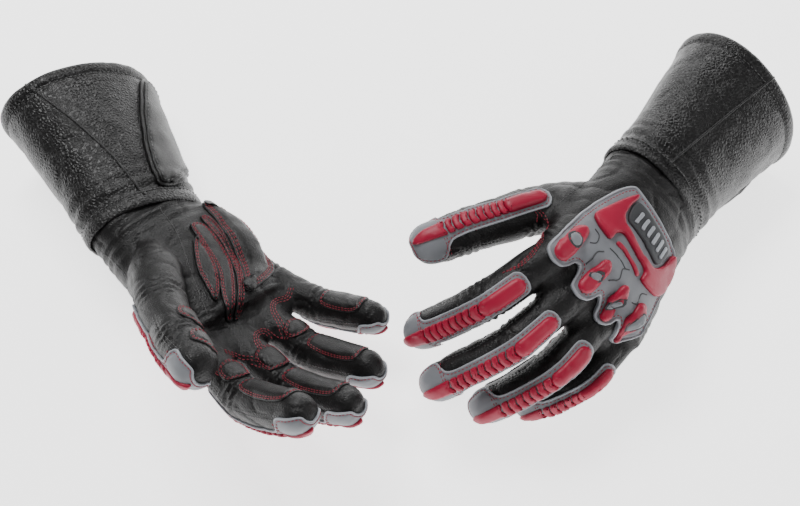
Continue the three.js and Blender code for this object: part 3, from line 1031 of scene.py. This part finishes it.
def build_cuff(glove):
    """The gauntlet with its turned hem, its welt over the wrist and its lining."""
    bm = bmesh.new()
    rows = [cuff_point(glove, s, g) for s, g in ((-6, 0.6), (-5.2, 1.9), (-3, 2.4), (-0.5, 2.2))]
    rows += [cuff_point(glove, 2 + 2.4 * i, 0.9 if i > 1 else 1.5) for i in range(41)]
    rows += [cuff_point(glove, s, g) for s, g in (
        (101.5, 0.7), (102.6, 0.3), (103.6, 1.2), (106, 1.6), (109, 1.5), (111, 0.8), (112, -0.6),
    )]
    loft(bm, rows, 96, caps=False)
    cuff_wrinkle(bm, glove, CUFF_LENGTH)
    flatten(bm, glove)
    bmesh.ops.recalc_face_normals(bm, faces=bm.faces)
    outward(bm, glove.cuff @ Vector((0, 50, 0)))
    glove.cuff_tree = BVHTree.FromBMesh(bm)
    bmesh.ops.solidify(bm, geom=bm.faces[:], thickness=2.0)
    for face in bm.faces:
        face.smooth = True
    glove.publish(bm, "cuff_leather", "cuff_leather", glove.body("cuff"), ["gauntlet_cuff"])

    bm = bmesh.new()
    rows = [cuff_point(glove, 108 - 4.5 * i, -3.0 if i else -2.2) for i in range(25)]
    rows += [(Matrix.Translation((0, 6 + 7 * i, 0)), 36 - 1.2 * i, 21 - 1.1 * i) for i in range(7)]
    rows += [(Matrix.Translation((0, 52, 0)), 20, 10), (Matrix.Translation((0, 55, 0)), 4, 2)]
    loops = loft(bm, rows, 48, caps=False)
    bmesh.ops.contextual_create(bm, geom=loops[-1])
    cuff_wrinkle(bm, glove, CUFF_LENGTH)
    bmesh.ops.recalc_face_normals(bm, faces=bm.faces)
    outward(bm, glove.cuff @ Vector((0, 50, 0)))
    bmesh.ops.solidify(bm, geom=bm.faces[:], thickness=1.0)
    for face in bm.faces:
        face.smooth = True
    glove.publish(bm, "cuff_fleece", "lining", glove.follow_wrist(), ["cuff_lining"])


def outward(bm, centre):
    """Turns an open tube's faces away from its axis."""
    total = sum((f.calc_center_median() - centre).dot(f.normal) for f in bm.faces)
    if total < 0:
        bmesh.ops.reverse_faces(bm, faces=bm.faces)


def cuff_surface(glove):
    def ray(a, s):
        width, height = between(CUFF_SIZES, s)
        turn = a / ((width + height) / 2)
        centre = glove.cuff @ Matrix.Translation((0, s, 0))
        out = centre.col[0].xyz * math.sin(turn) + centre.col[2].xyz * math.cos(turn)
        return centre.translation, out
    return Surface(glove.cuff_tree, ray, True)


def build_cuff_trim(glove):
    """Drag patch, seams and stitching of the gauntlet."""
    surface = cuff_surface(glove)
    # round the cuff from the middle of its back; the little-finger side is a quarter turn away
    middle = 88
    arc = []
    for turn in range(-90, 91, 12):
        t = math.radians(turn)
        arc.append((middle + 6 - 37 * math.cos(t), 55 + 49 * math.sin(t)))
    outline = closed_curve(arc + [(middle + 13, 96), (middle + 15, 55), (middle + 13, 14)], 100, 0.4)
    lower = overlay(surface, outline, [(0, -0.4), (0.25, 1.5), (0.7, 2.1), (3, 2.2)], pitch=5)
    upper = overlay(
        surface, offset_curve(outline, 2.4), [(0, 1.6), (0.25, 3.0), (0.7, 3.6), (4, 3.8)], pitch=5,
    )
    for bm, name in ((lower, "drag_patch_under"), (upper, "drag_patch_over")):
        flatten(bm, glove)
        glove.publish(
            bm, name, "patch_leather", glove.body("cuff"),
            ["gauntlet_drag_patch"] if name.endswith("over") else (),
        )
    thread = bmesh.new()
    stitches(thread, surface, offset_curve(outline, 4.6), height=3.8, pace=3.4)
    around = [Vector((a, 102.6, 0)) for a in frange(-148, 148, 4)]
    stitches(thread, surface, around, height=0.35, pace=3.4, closed=False)
    stitches(
        thread, surface, [Vector((a, 4.5, 0)) for a in frange(-110, 110, 4)], height=0.3, pace=3.2,
        closed=False,
    )
    flatten(thread, glove)
    glove.publish(thread, "cuff_stitches", "grey_thread", glove.body("cuff"))
    welt = bmesh.new()
    cord_line(welt, surface, [Vector((-22 + s * 0.1, s, 0)) for s in frange(2, 111, 3)], 0.9, -0.1)
    cord_line(welt, surface, [Vector((-98, s, 0)) for s in frange(2, 111, 3)], 0.9, -0.1)
    flatten(welt, glove)
    for face in welt.faces:
        face.smooth = True
    glove.publish(welt, "cuff_seams", "patch_leather", glove.body("cuff"))


def frange(low, high, step):
    count = int(round((high - low) / step))
    return [low + (high - low) * i / count for i in range(count + 1)]


# ------------------------------------------------------------------ the knuckle guard
GUARD = [
    (28.4, 34.5), (32, 39.7), (36, 49.3), (39.7, 61.8), (43.4, 78.5), (45.3, 92.8), (45.5, 104),
    (43.7, 109), (39, 111.5),
    (33.5, 110), (30.5, 105.7), (28.6, 101.8), (26, 101), (23.4, 102.4), (20.9, 106.2),
    (18.5, 111.5), (13, 114.3),
    (7.8, 112), (5.6, 107), (4.6, 103.6), (1.5, 102.4), (-1.5, 103.6), (-5.5, 108), (-10.7, 110.2),
    (-14.2, 109.6),
    (-16.5, 106.5), (-17, 103), (-18.4, 101), (-20.4, 101.6), (-23, 104.5), (-28, 105),
    (-34.5, 101.5), (-37, 96),
    (-34, 84), (-31.5, 68), (-31, 56), (-26.5, 44.5), (-21, 39.5), (-7, 38.2), (6.4, 37.6),
    (19.5, 35.4), (25.5, 33.6),
]
ARCH = [
    (24, 38.6), (28.5, 47.2), (32.7, 57.5), (36.5, 68.9), (35.7, 74), (31.3, 77.4), (24.4, 79.2),
    (22.7, 77.5),
    (22.3, 72.8), (20, 69.3), (17.5, 68.5), (10.2, 70.1), (0.1, 71.9), (-6, 72.8), (-7.5, 75.5),
    (-8.4, 79.2),
    (-15.5, 78.3), (-24.5, 74.6), (-29, 67.4), (-30, 57.5), (-27.5, 47.6), (-22, 42), (-19.2, 44.5),
    (-17.5, 53.9),
    (-14.1, 61.7), (-8.6, 66.3), (4.2, 66.9), (15.4, 63.6), (21, 61), (23.8, 57.2), (23.9, 48.3),
    (22.6, 41.2),
]
TABLET = [(21.5, 43), (20.5, 57.5), (5, 60.5), (-10.5, 62), (-14.5, 54), (-12.5, 45.5), (5, 43.5)]
BOW = [(18, 75), (11, 74.6), (3, 76), (-4.5, 78), (-3.8, 80.5), (3.4, 78.8), (11.5, 77.2), (18, 77.8)]
BUMPERS = {
    "index": [(37.5, 83.4), (34.6, 86), (34.2, 94.9), (34.4, 102), (35.2, 107), (38.2, 109), (41.7, 107.4), (
        43, 103,
    ),
              (42.6, 96), (41, 87.5)],
    "middle": [(15.5, 89.6), (12.5, 91.6), (10.2, 98.5), (10, 105.7), (11, 109.8), (14.3, 111), (17, 108.8),
               (18.4, 103.4), (19.3, 97.4), (19, 91.7)],
    "ring": [(-2.5, 90.6), (-6, 92), (-10.4, 96.5), (-13, 101), (-13.9, 105.6), (-12.4, 108.2), (
        -9.3, 107.2,
    ),
             (-6, 101.5), (-1.8, 97.2), (0, 93.4)],
    "pinky": [(-21, 85.4), (-25, 86.4), (-28, 92), (-31, 97), (-32.6, 100.6), (-30.5, 103), (-26.4, 101.4),
              (-22, 98.4), (-18.4, 94.5), (-17.8, 89)],
}
BUTTONS = {"index": (38.4, 95.8), "middle": (14.4, 99.4), "ring": (-7.3, 98.5), "pinky": (-25.2, 94)}
GROOVES = [
    [(33, 80), (29, 82), (28, 87), (31, 90)], [(22, 88), (25, 92), (23.5, 98)],
    [(8, 96), (4, 92), (6, 86), (2, 82)],
    [(-13, 93), (-17, 90), (-15, 84), (-19, 80)], [(20, 83), (12, 82.5), (5, 84)],
]
LOW_STEPS = [(0, -0.6), (0.25, 1.6), (0.7, 2.2), (0.8, 2.2), (0.8, 1.9), (0.8, 2.3)]
HIGH_STEPS = [(0, 0.0), (0.25, 1.7), (0.7, 2.7), (0.9, 3.2), (0.6, 3.4)]
ARCH_STEPS = [(0, 0.0), (0.2, 1.7), (0.5, 2.6), (0.5, 2.9)]


def build_guard(glove):
    """Grey moulded plate over the back of the hand, with its red bumpers."""
    surface, body = glove.back(), glove.body("hand")
    outline = closed_curve(GUARD, 170, 0.45)
    publish_split(
        glove, overlay(surface, outline, LOW_STEPS, pitch=2.8), "guard_plate", "grey_rubber",
        ["knuckle_guard"],
    )
    # a raised rim round the plate in the guard grey lightened: a painted highlight along its edge
    rim = bmesh.new()
    cord_line(rim, surface, offset_curve(outline, 0.8), 0.85, 2.0, closed=True)
    for face in rim.faces:
        face.smooth = True
    publish_split(glove, rim, "guard_rim", "painted_highlight_rubber")
    thread = Threads(glove)
    stitches(thread, surface, offset_curve(outline, 2.9), height=2.3, pace=2.5, length=2.1, thick=0.6)
    thread.publish("guard_stitches", "red_thread")
    # the grooves are raised cords in the guard grey darkened: painted shade standing in for the recessed
    # lines
    lines = Threads(glove)
    for groove in GROOVES:
        line = open_curve(groove, 18)
        cord_line(lines(surface.place(line[9], 0)[0]), surface, line, 0.45, 2.2)
    for bm in lines.meshes.values():
        for face in bm.faces:
            face.smooth = True
    lines.publish("guard_grooves", "painted_shade_rubber")

    arch = overlay(surface, closed_curve(ARCH, 120, 0.42), ARCH_STEPS, base=2.2, pitch=2.8)
    join(
        arch,
        overlay(surface, closed_curve(BOW, 60, 0.42), [(0, 0), (0.2, 1.0), (0.5, 1.5)], base=2.2, pitch=3),
    )
    glove.publish(arch, "arch", "red_rubber", body, ["arch_bumper"])
    # a plain ribbed tablet between the arch's arms, in the guard grey darkened as painted shade
    plate = overlay(
        surface, closed_curve(TABLET, 60, 0.4), [(0, 0), (0.2, 1.6), (0.5, 2.1), (1.4, 2.2)],
        base=2.0, pitch=3,
    )
    glove.publish(plate, "tablet", "painted_shade_rubber", body)
    # the ribs are the guard grey lightened: painted highlight on their tops
    ribs = bmesh.new()
    for k in range(6):
        x = -10 + 5.2 * k
        bar = rounded_box(x - 1.1, 47.6 - 0.1 * k, x + 1.1, 57.6 - 0.25 * k, 1.0)
        join(ribs, overlay(surface, bar, [(0, 0), (0.2, 0.6), (0.35, 0.8)], base=4.2, pitch=4))
    glove.publish(ribs, "tablet_ribs", "painted_highlight_rubber", body)

    for name, shape in BUMPERS.items():
        follow = glove.follow_root(name)
        bumper = overlay(surface, closed_curve(shape, 46, 0.5), HIGH_STEPS, base=1.9, pitch=2.4)
        glove.publish(bumper, f"{name}_bumper", "red_rubber", follow, [f"{name}_knuckle_bumper"])
        x, y = BUTTONS[name]
        # a ring of the guard grey darkened round each button: painted shade in the gap round it
        ring = overlay(surface, ellipse(x, y, 3.6, 4.0, 22), [(0, 4.4), (0.25, 5.3), (0.4, 5.3)], pitch=3)
        glove.publish(ring, f"{name}_button_ring", "painted_shade_rubber", follow)
        button = overlay(
            surface, ellipse(x, y, 2.7, 3.0, 20), [(0, 4.7), (0.15, 5.5), (0.6, 6.0), (1.1, 6.2)], pitch=3,
        )
        glove.publish(button, f"{name}_button", "grey_rubber", follow)


def join(bm, other):
    spare = bpy.data.meshes.new("spare")
    other.to_mesh(spare)
    other.free()
    bm.from_mesh(spare)
    bpy.data.meshes.remove(spare)


# ------------------------------------------------------------------ finger strips
def strip_outline(start, shoulder, end, narrow, wide):
    """Half widths: round at the knuckle end, then even, then wide over the tip."""
    right = [(narrow * 0.55, start + 0.6), (narrow * 0.92, start + 3.2), (narrow, start + 7)]
    right += [(narrow, (start + shoulder) / 2), (narrow * 1.04, shoulder - 5), (narrow * 1.3, shoulder + 2)]
    right += [
        (wide, shoulder + 7), (wide, (shoulder + end) / 2 + 2), (wide * 0.94, end - 2), (wide * 0.6, end),
    ]
    left = [(-a, s) for a, s in reversed(right)]
    return [(0, start)] + right + [(0, end + 0.5)] + left


def build_strips(glove):
    """Grey welded strips down the fingers with red ribbed spines, and grey fingertip caps."""
    for name in [*FINGERS, "thumb"]:
        limb = glove.limbs[name]
        surface = glove.limb_surface(name)
        radius = between(limb.sizes, limb.high)[1]
        end = limb.top + radius * 1.15
        start = -9 if name == "thumb" else SLICE + 1.5
        shoulder = limb.high - (25 if name != "pinky" else 21)
        wide = radius * 1.5
        narrow = 7.8 if name != "pinky" else 7.0
        outline = closed_curve(strip_outline(start, shoulder, end, narrow, wide), 120, 0.45)
        base = overlay(
            surface, outline,
            [(0, -0.5), (0.25, 0.9), (0.5, 1.15), (0.9, 1.1), (0.6, 0.9), (0.7, 1.2)], pitch=3,
        )
        publish_digit(glove, base, f"{name}_strip_base", "grey_rubber", name)
        # a rim along the strip's edge in the guard grey lightened: a painted highlight
        rim = bmesh.new()
        cord_line(rim, surface, offset_curve(outline, 0.5), 0.6, 0.85, closed=True)
        for face in rim.faces:
            face.smooth = True
        publish_digit(glove, rim, f"{name}_strip_rim", "painted_highlight_rubber", name)
        thread = Threads(glove, name)
        stitches(thread, surface, offset_curve(outline, 1.9), height=1.15, pace=2.4, length=1.9, thick=0.5)
        for a0, a1 in ((-wide + 2, -4.5), (4.5, wide - 2)):
            for shift in (3.5, 5.2):
                line = [Vector((a, shoulder + shift, 0)) for a in frange(a0, a1, 1.5)]
                stitches(thread, surface, line, height=1.2, pace=2.3, length=1.8, thick=0.5, closed=False)
        thread.publish(f"{name}_strip_stitches", "red_thread")

        half = 4.6 if name != "pinky" else 4.1
        dome_end = 16.5 if name == "thumb" else start + limb.high * 0.235
        first = start + 2.6
        dome = overlay(surface, closed_curve([
            (0, first), (half * 0.75, first + 1.6), (half, first + 6), (half, dome_end - 4),
            (half * 0.85, dome_end - 0.4),
            (0, dome_end + 1.0), (-half * 0.85, dome_end - 0.4), (-half, dome_end - 4), (-half, first + 6),
            (-half * 0.75, first + 1.6),
        ], 60, 0.5), [(0, 0.4), (0.2, 2.0), (0.7, 3.0), (1.1, 3.6), (1.3, 3.9)], pitch=2.4)
        red = bmesh.new()
        if name == "thumb":
            glove.publish(dome, f"{name}_root_spine", "red_rubber", glove.follow_root(name))
        else:
            join(red, dome)
        last = limb.high - (23 if name != "pinky" else 19)
        count = max(3, round((last - dome_end) / 4.7))
        pace = (last - dome_end - 0.8) / count
        for k in range(count):
            s, w = dome_end + 0.9 + pace * k, half * 0.9
            rib = [
                (-w, s - 0.7), (0, s + 0.7), (w, s - 0.7), (w, s + pace - 1.5), (0, s + pace - 0.3),
                (-w, s + pace - 1.5),
            ]
            join(
                red,
                overlay(
                    surface, closed_curve(rib, 30, 0.3),
                    [(0, 0.4), (0.15, 2.2), (0.5, 2.9), (0.6, 3.1)], pitch=3,
                ),
            )
        s = last + 0.6
        tail = closed_curve([
            (0, s + 0.7), (half * 0.9, s - 0.7), (half * 0.9, s + 5), (half * 0.8, (s + end) / 2),
            (half * 0.62, end - 6),
            (0, end - 3), (-half * 0.62, end - 6), (-half * 0.8, (s + end) / 2),
            (-half * 0.9, s + 5), (-half * 0.9, s - 0.7),
        ], 60, 0.4)
        join(red, overlay(surface, tail, [(0, 0.3), (0.15, 1.8), (0.6, 2.5), (1.1, 2.8)], pitch=2.6))
        glove.publish(red, f"{name}_spine", "red_rubber", glove.follow_end(name), [f"{name}_strip"])

        # the seams of the side pieces between the fingers
        seams = Threads(glove, name)
        for side in (-1, 1):
            for shift in (-1.2, 1.2):
                line = [
                    Vector((side * radius * 1.5 + shift, v, 0)) for v in frange(
                        limb.high * 0.3, limb.top - 2, 3,
                    )
                ]
                stitches(seams, surface, line, height=0.1, pace=2.3, length=1.9, thick=0.42, closed=False)
        seams.publish(f"{name}_side_stitches", "grey_thread")


def publish_digit(glove, bm, name, finish, digit):
    """Cuts a piece along a finger into a part on its root and a part on its end."""
    at = glove.limbs[digit].at(THUMB_SLICE if digit == "thumb" else SLICE)
    memory = Memory(bm)
    root = cut(bm.copy(), at.translation, at.col[1].xyz, "below")
    end = cut(bm, at.translation, at.col[1].xyz, "above")
    if len(root.faces) > 4:
        glove.publish(root, f"{name}_root", finish, glove.follow_root(digit), (), finish, memory)
    else:
        root.free()
    glove.publish(end, name, finish, glove.follow_end(digit), (), finish, memory)


# ------------------------------------------------------------------ palm patches
PALM = [
    (-23, 36), (-21.5, 45), (-20, 55), (-16, 70), (-10, 82), (-4, 89), (-6, 92), (-12, 92),
    (-19, 91), (-28, 88.5),
    (-37, 84), (-42, 74), (-44, 56), (-43, 38), (-37, 22), (-30, 17), (-25, 24),
]
CRESCENTS = [
    [(-21.5, 31), (-17, 29), (-15.8, 38.9), (-14.3, 56), (-8.4, 73.8), (-0.5, 86.9), (9, 98), (10, 102), (
        4.5, 99.4,
    ),
     (-4.5, 89.7), (-14.4, 74.1), (-18.7, 57.5), (-22, 43.2)],
    [(-14.8, 37), (-9, 32.5), (-4, 34.5), (-1.5, 51.7), (2.5, 69.5), (9.6, 82.1), (15.5, 94), (14.5, 100), (
        9, 96,
    ),
     (-1, 83.6), (-10.4, 67.6), (-14.8, 50.5)],
    [(-3, 43), (3.5, 47), (9, 55), (13.6, 64), (16.6, 75), (18.5, 89), (10.3, 82.4), (3.2, 70.8), (-1, 58.6)],
]
FINGER_BASE = [
    (-37, 101), (-31, 104.5), (-23, 102.7), (-16, 107), (-12, 118), (-9.5, 127), (-7.5, 129),
    (-6, 125), (-5, 119),
    (-1.5, 115.5), (5.2, 116.5), (10, 122), (13, 131), (15.5, 137), (18, 137), (19.5, 130),
    (24, 122), (33, 117),
]
THUMB_SEAM = [(3, 12), (5.4, 31.4), (11.2, 47.5), (19, 67.5), (24.5, 84.1), (27, 93)]
WEB_LOOP = [
    (71, 112, -31), (72.8, 100.3, -28.2), (69.9, 91.7, -24.2), (64.5, 83.5, -17.9), (57.8, 78.7, -12.7),
    (50.5, 78.7, -10.4), (45.8, 86, -7), (47.2, 101.9, -0.7), (46.2, 113.1, -2.1),
    (45.9, 120.7, -6.6), (47.7, 127, -13.3),
]
BACK_SEAM = [(40.1, 5, 3), (41.4, 19.4, -2.6), (42, 34, -4), (45, 48, -3), (48.8, 61.6, -3), (50, 77, -8)]


def build_palm(glove):
    """Padded palm and thumb-crease patches, sewn with rows of red thread."""
    surface = glove.palm()
    outline = closed_curve(PALM, 120, 0.45)
    pad = overlay(
        surface, outline, [(0, -0.5), (0.25, 0.8), (0.8, 1.3), (3.6, 1.2), (1.2, 2.0), (2.2, 2.6)], pitch=3,
    )
    publish_split(glove, pad, "palm_padding", "patch_leather", ["palm_pad"])
    thread = Threads(glove)
    for inset in (1.6, 3.2, 4.3):
        stitches(
            thread, surface, offset_curve(outline, inset), height=1.4, pace=2.6, length=2.1, thick=0.55,
        )
    patches = bmesh.new()
    for k, points in enumerate(CRESCENTS):
        shape = closed_curve(points, 84, 0.5)
        join(
            patches,
            overlay(
                surface, shape, [(0, -0.3), (0.2, 0.9), (0.6, 1.4), (1.5, 1.3), (0.6, 1.9)],
                base=0.5 * k, pitch=3,
            ),
        )
        for inset in (1.1, 2.2):
            stitches(
                thread, surface, offset_curve(shape, inset), height=1.6 + 0.5 * k, pace=2.4,
                length=2.0, thick=0.55,
            )
    publish_split(glove, patches, "crease_patches", "patch_leather", ["thenar_patch"])
    for shift in (-1.6, 0, 1.4):
        line = offset_curve(open_curve(FINGER_BASE, 90), shift, closed=False)
        stitches(thread, surface, line, height=0.2, pace=2.5, length=2.0, thick=0.55, closed=False)
    skin = Nearest(glove.tree, glove.soft)
    loop = resample([Vector(p) for p in WEB_LOOP], 40)
    for lift, shift in (
        (0.2, Vector((0, 0, 0))), (0.2, Vector((1.4, 1.2, -1.2))), (0.2, Vector((3.2, 2.6, -2.6))),
    ):
        stitches(
            thread, skin, [p + shift for p in loop], height=lift, pace=2.4, length=2.0, thick=0.55,
            closed=False,
        )
    thread.publish("palm_stitches", "red_thread")
    seams = Threads(glove)
    stitches(seams, skin, resample([Vector(p) for p in BACK_SEAM], 40), 0.1, 2.1, 2.1, 0.4, closed=False)
    stitches(seams, surface, open_curve(THUMB_SEAM, 40), 0.1, 2.1, 2.1, 0.4, closed=False)
    seams.publish("hand_seams", "grey_thread")
    for name in [*FINGERS, "thumb"]:
        limb = glove.limbs[name]
        under = glove.limb_surface(name, palm=True)
        start = (THUMB_SLICE if name == "thumb" else SLICE) + 4
        middle = THUMB["lengths"][1] if name == "thumb" else FINGERS[name]["lengths"][0]
        half = between(limb.sizes, middle)[0] * 0.72
        pads, thread = bmesh.new(), Threads(glove, name)
        for low, high in ((start, middle - 3), (middle + 5, limb.high - 12)):
            if high - low < 8:
                continue
            shape = closed_curve(
                [(0, low), (half, low + 4), (half, high - 5), (0, high), (-half, high - 5), (-half, low + 4)],
                56, 0.5,
            )
            join(
                pads,
                overlay(under, shape, [(0, -0.4), (0.2, 0.6), (0.6, 1.0), (2.0, 1.0), (1.3, 1.7)], pitch=3),
            )
            for inset in (1.0, 2.1):
                stitches(
                    thread, under, offset_curve(shape, inset), height=1.05, pace=2.4, length=1.9, thick=0.5,
                )
        glove.publish(pads, f"{name}_grip_pads", "patch_leather", glove.follow_end(name))
        thread.publish(f"{name}_grip_stitches", "red_thread")


# ------------------------------------------------------------------ settings, operators, panel
class GloveLooks(bpy.types.PropertyGroup):
    leather: bpy.props.FloatVectorProperty(
        name="Leather", description="Colour of the black leather", subtype="COLOR_GAMMA", size=3,
        min=0, max=1,
        default=(0.06, 0.056, 0.058))
    guard_grey: bpy.props.FloatVectorProperty(
        name="Guard grey", description="Colour of the moulded guards", subtype="COLOR_GAMMA",
        size=3, min=0, max=1,
        default=(0.50, 0.51, 0.53))
    guard_red: bpy.props.FloatVectorProperty(
        name="Guard red", description="Colour of the red bumpers", subtype="COLOR_GAMMA", size=3,
        min=0, max=1,
        default=(0.65, 0.05, 0.21))
    red_thread: bpy.props.FloatVectorProperty(
        name="Red thread", description="Colour of the red stitching", subtype="COLOR_GAMMA", size=3,
        min=0, max=1,
        default=(0.66, 0.07, 0.20))
    grey_thread: bpy.props.FloatVectorProperty(
        name="Grey thread", description="Colour of the seam thread", subtype="COLOR_GAMMA", size=3,
        min=0, max=1,
        default=(0.36, 0.36, 0.36))
    lining: bpy.props.FloatVectorProperty(
        name="Lining", description="Colour of the fleece lining", subtype="COLOR_GAMMA", size=3,
        min=0, max=1,
        default=(0.45, 0.43, 0.40))
    camera_distance: bpy.props.FloatProperty(
        name="Camera distance", description="From the middle of the pair",
        subtype="DISTANCE", unit="LENGTH", default=0.72)
    camera_elevation: bpy.props.FloatProperty(
        name="Camera elevation", description="Above the table",
        subtype="ANGLE", unit="ROTATION", default=math.radians(60))


class LeatherBuild(bpy.types.Operator):
    """Build the leather of both hands"""
    bl_idname = "gloves.leather"
    bl_label = "Leather"

    def execute(self, context):
        for glove in gloves():
            build_leather(glove)
        return {"FINISHED"}


class CuffBuild(bpy.types.Operator):
    """Build both gauntlets with their linings and trim"""
    bl_idname = "gloves.cuffs"
    bl_label = "Gauntlets"

    def execute(self, context):
        for glove in gloves():
            build_cuff(glove)
            build_cuff_trim(glove)
        return {"FINISHED"}


class GuardBuild(bpy.types.Operator):
    """Build the knuckle guards with their bumpers"""
    bl_idname = "gloves.guards"
    bl_label = "Knuckle guards"

    def execute(self, context):
        for glove in gloves():
            build_guard(glove)
        return {"FINISHED"}


class StripBuild(bpy.types.Operator):
    """Build the ribbed strips and caps of the fingers"""
    bl_idname = "gloves.strips"
    bl_label = "Finger strips"

    def execute(self, context):
        for glove in gloves():
            build_strips(glove)
        return {"FINISHED"}


class PalmBuild(bpy.types.Operator):
    """Build the palm patches and their stitching"""
    bl_idname = "gloves.palms"
    bl_label = "Palm patches"

    def execute(self, context):
        for glove in gloves():
            build_palm(glove)
        return {"FINISHED"}


def soft_light(name, at, target, size, power):
    light = bpy.data.lights.new(name, "AREA")
    light.shape = "RECTANGLE"
    light.size, light.size_y = size
    light.energy = power
    lamp = bpy.data.objects.new(name, light)
    lamp.location = at
    lamp.rotation_euler = (Vector(target) - Vector(at)).to_track_quat("-Z", "Y").to_euler()
    bpy.context.scene.collection.objects.link(lamp)


class StageBuild(bpy.types.Operator):
    """Build the table top, the studio light and the camera"""
    bl_idname = "gloves.stage"
    bl_label = "Stage"

    def execute(self, context):
        look = context.scene.glove_looks
        bm = bmesh.new()
        bmesh.ops.create_grid(bm, x_segments=1, y_segments=1, size=4.0)
        mesh = bpy.data.meshes.new("table_top")
        bm.to_mesh(mesh)
        bm.free()
        floor = bpy.data.objects.new("table_top", mesh)
        paint = Paint("pale_table")
        paint.set(
            Base_Color=(0.9, 0.9, 0.9, 1), Roughness=0.8, Emission_Color=(1, 1, 1, 1),
            Emission_Strength=2.2,
        )
        mesh.materials.append(paint.material)
        context.scene.collection.objects.link(floor)

        world = bpy.data.worlds.new("studio")
        world.use_nodes = True
        world.node_tree.nodes["Background"].inputs["Color"].default_value = (1, 1, 1, 1)
        world.node_tree.nodes["Background"].inputs["Strength"].default_value = 0.2
        context.scene.world = world
        middle = (0, 0, 0.03)
        soft_light("key_light", (-0.5, 0.7, 1.5), middle, (1.0, 0.6), 24)
        soft_light("fill_light", (1.1, -0.5, 1.0), middle, (0.9, 0.9), 5)
        soft_light("rim_light", (0.3, 1.5, 0.6), middle, (1.6, 0.4), 11)

        data = bpy.data.cameras.new("camera")
        data.lens = 50.6
        data.sensor_width = 36
        camera = bpy.data.objects.new("camera", data)
        e = look.camera_elevation
        target = Vector((0.0004, -0.0086, 0.045))
        camera.location = target + Vector((0, -math.cos(e), math.sin(e))) * look.camera_distance
        camera.rotation_euler = (math.pi / 2 - e, 0, 0)
        context.scene.collection.objects.link(camera)
        context.scene.camera = camera
        return {"FINISHED"}


STEPS = (LeatherBuild, CuffBuild, GuardBuild, StripBuild, PalmBuild, StageBuild)


class GlovePanel(bpy.types.Panel):
    """Lists the steps that build the gloves"""
    bl_idname = "VIEW3D_PT_welding_gloves"
    bl_label = "Welding gloves"
    bl_space_type = "VIEW_3D"
    bl_region_type = "UI"
    bl_category = "Gloves"

    def draw(self, context):
        look = context.scene.glove_looks
        for key in GloveLooks.__annotations__:
            self.layout.prop(look, key)
        for step in STEPS:
            self.layout.operator(step.bl_idname)


CLASSES = (GloveLooks, *STEPS, GlovePanel)


def register():
    for item in CLASSES:
        bpy.utils.register_class(item)
    bpy.types.Scene.glove_looks = bpy.props.PointerProperty(type=GloveLooks)


def unregister():
    del bpy.types.Scene.glove_looks
    for item in reversed(CLASSES):
        bpy.utils.unregister_class(item)


def main():
    register()
    for step in STEPS:
        group, name = step.bl_idname.split(".")
        getattr(getattr(bpy.ops, group), name)()


if __name__ == "__main__":
    main()
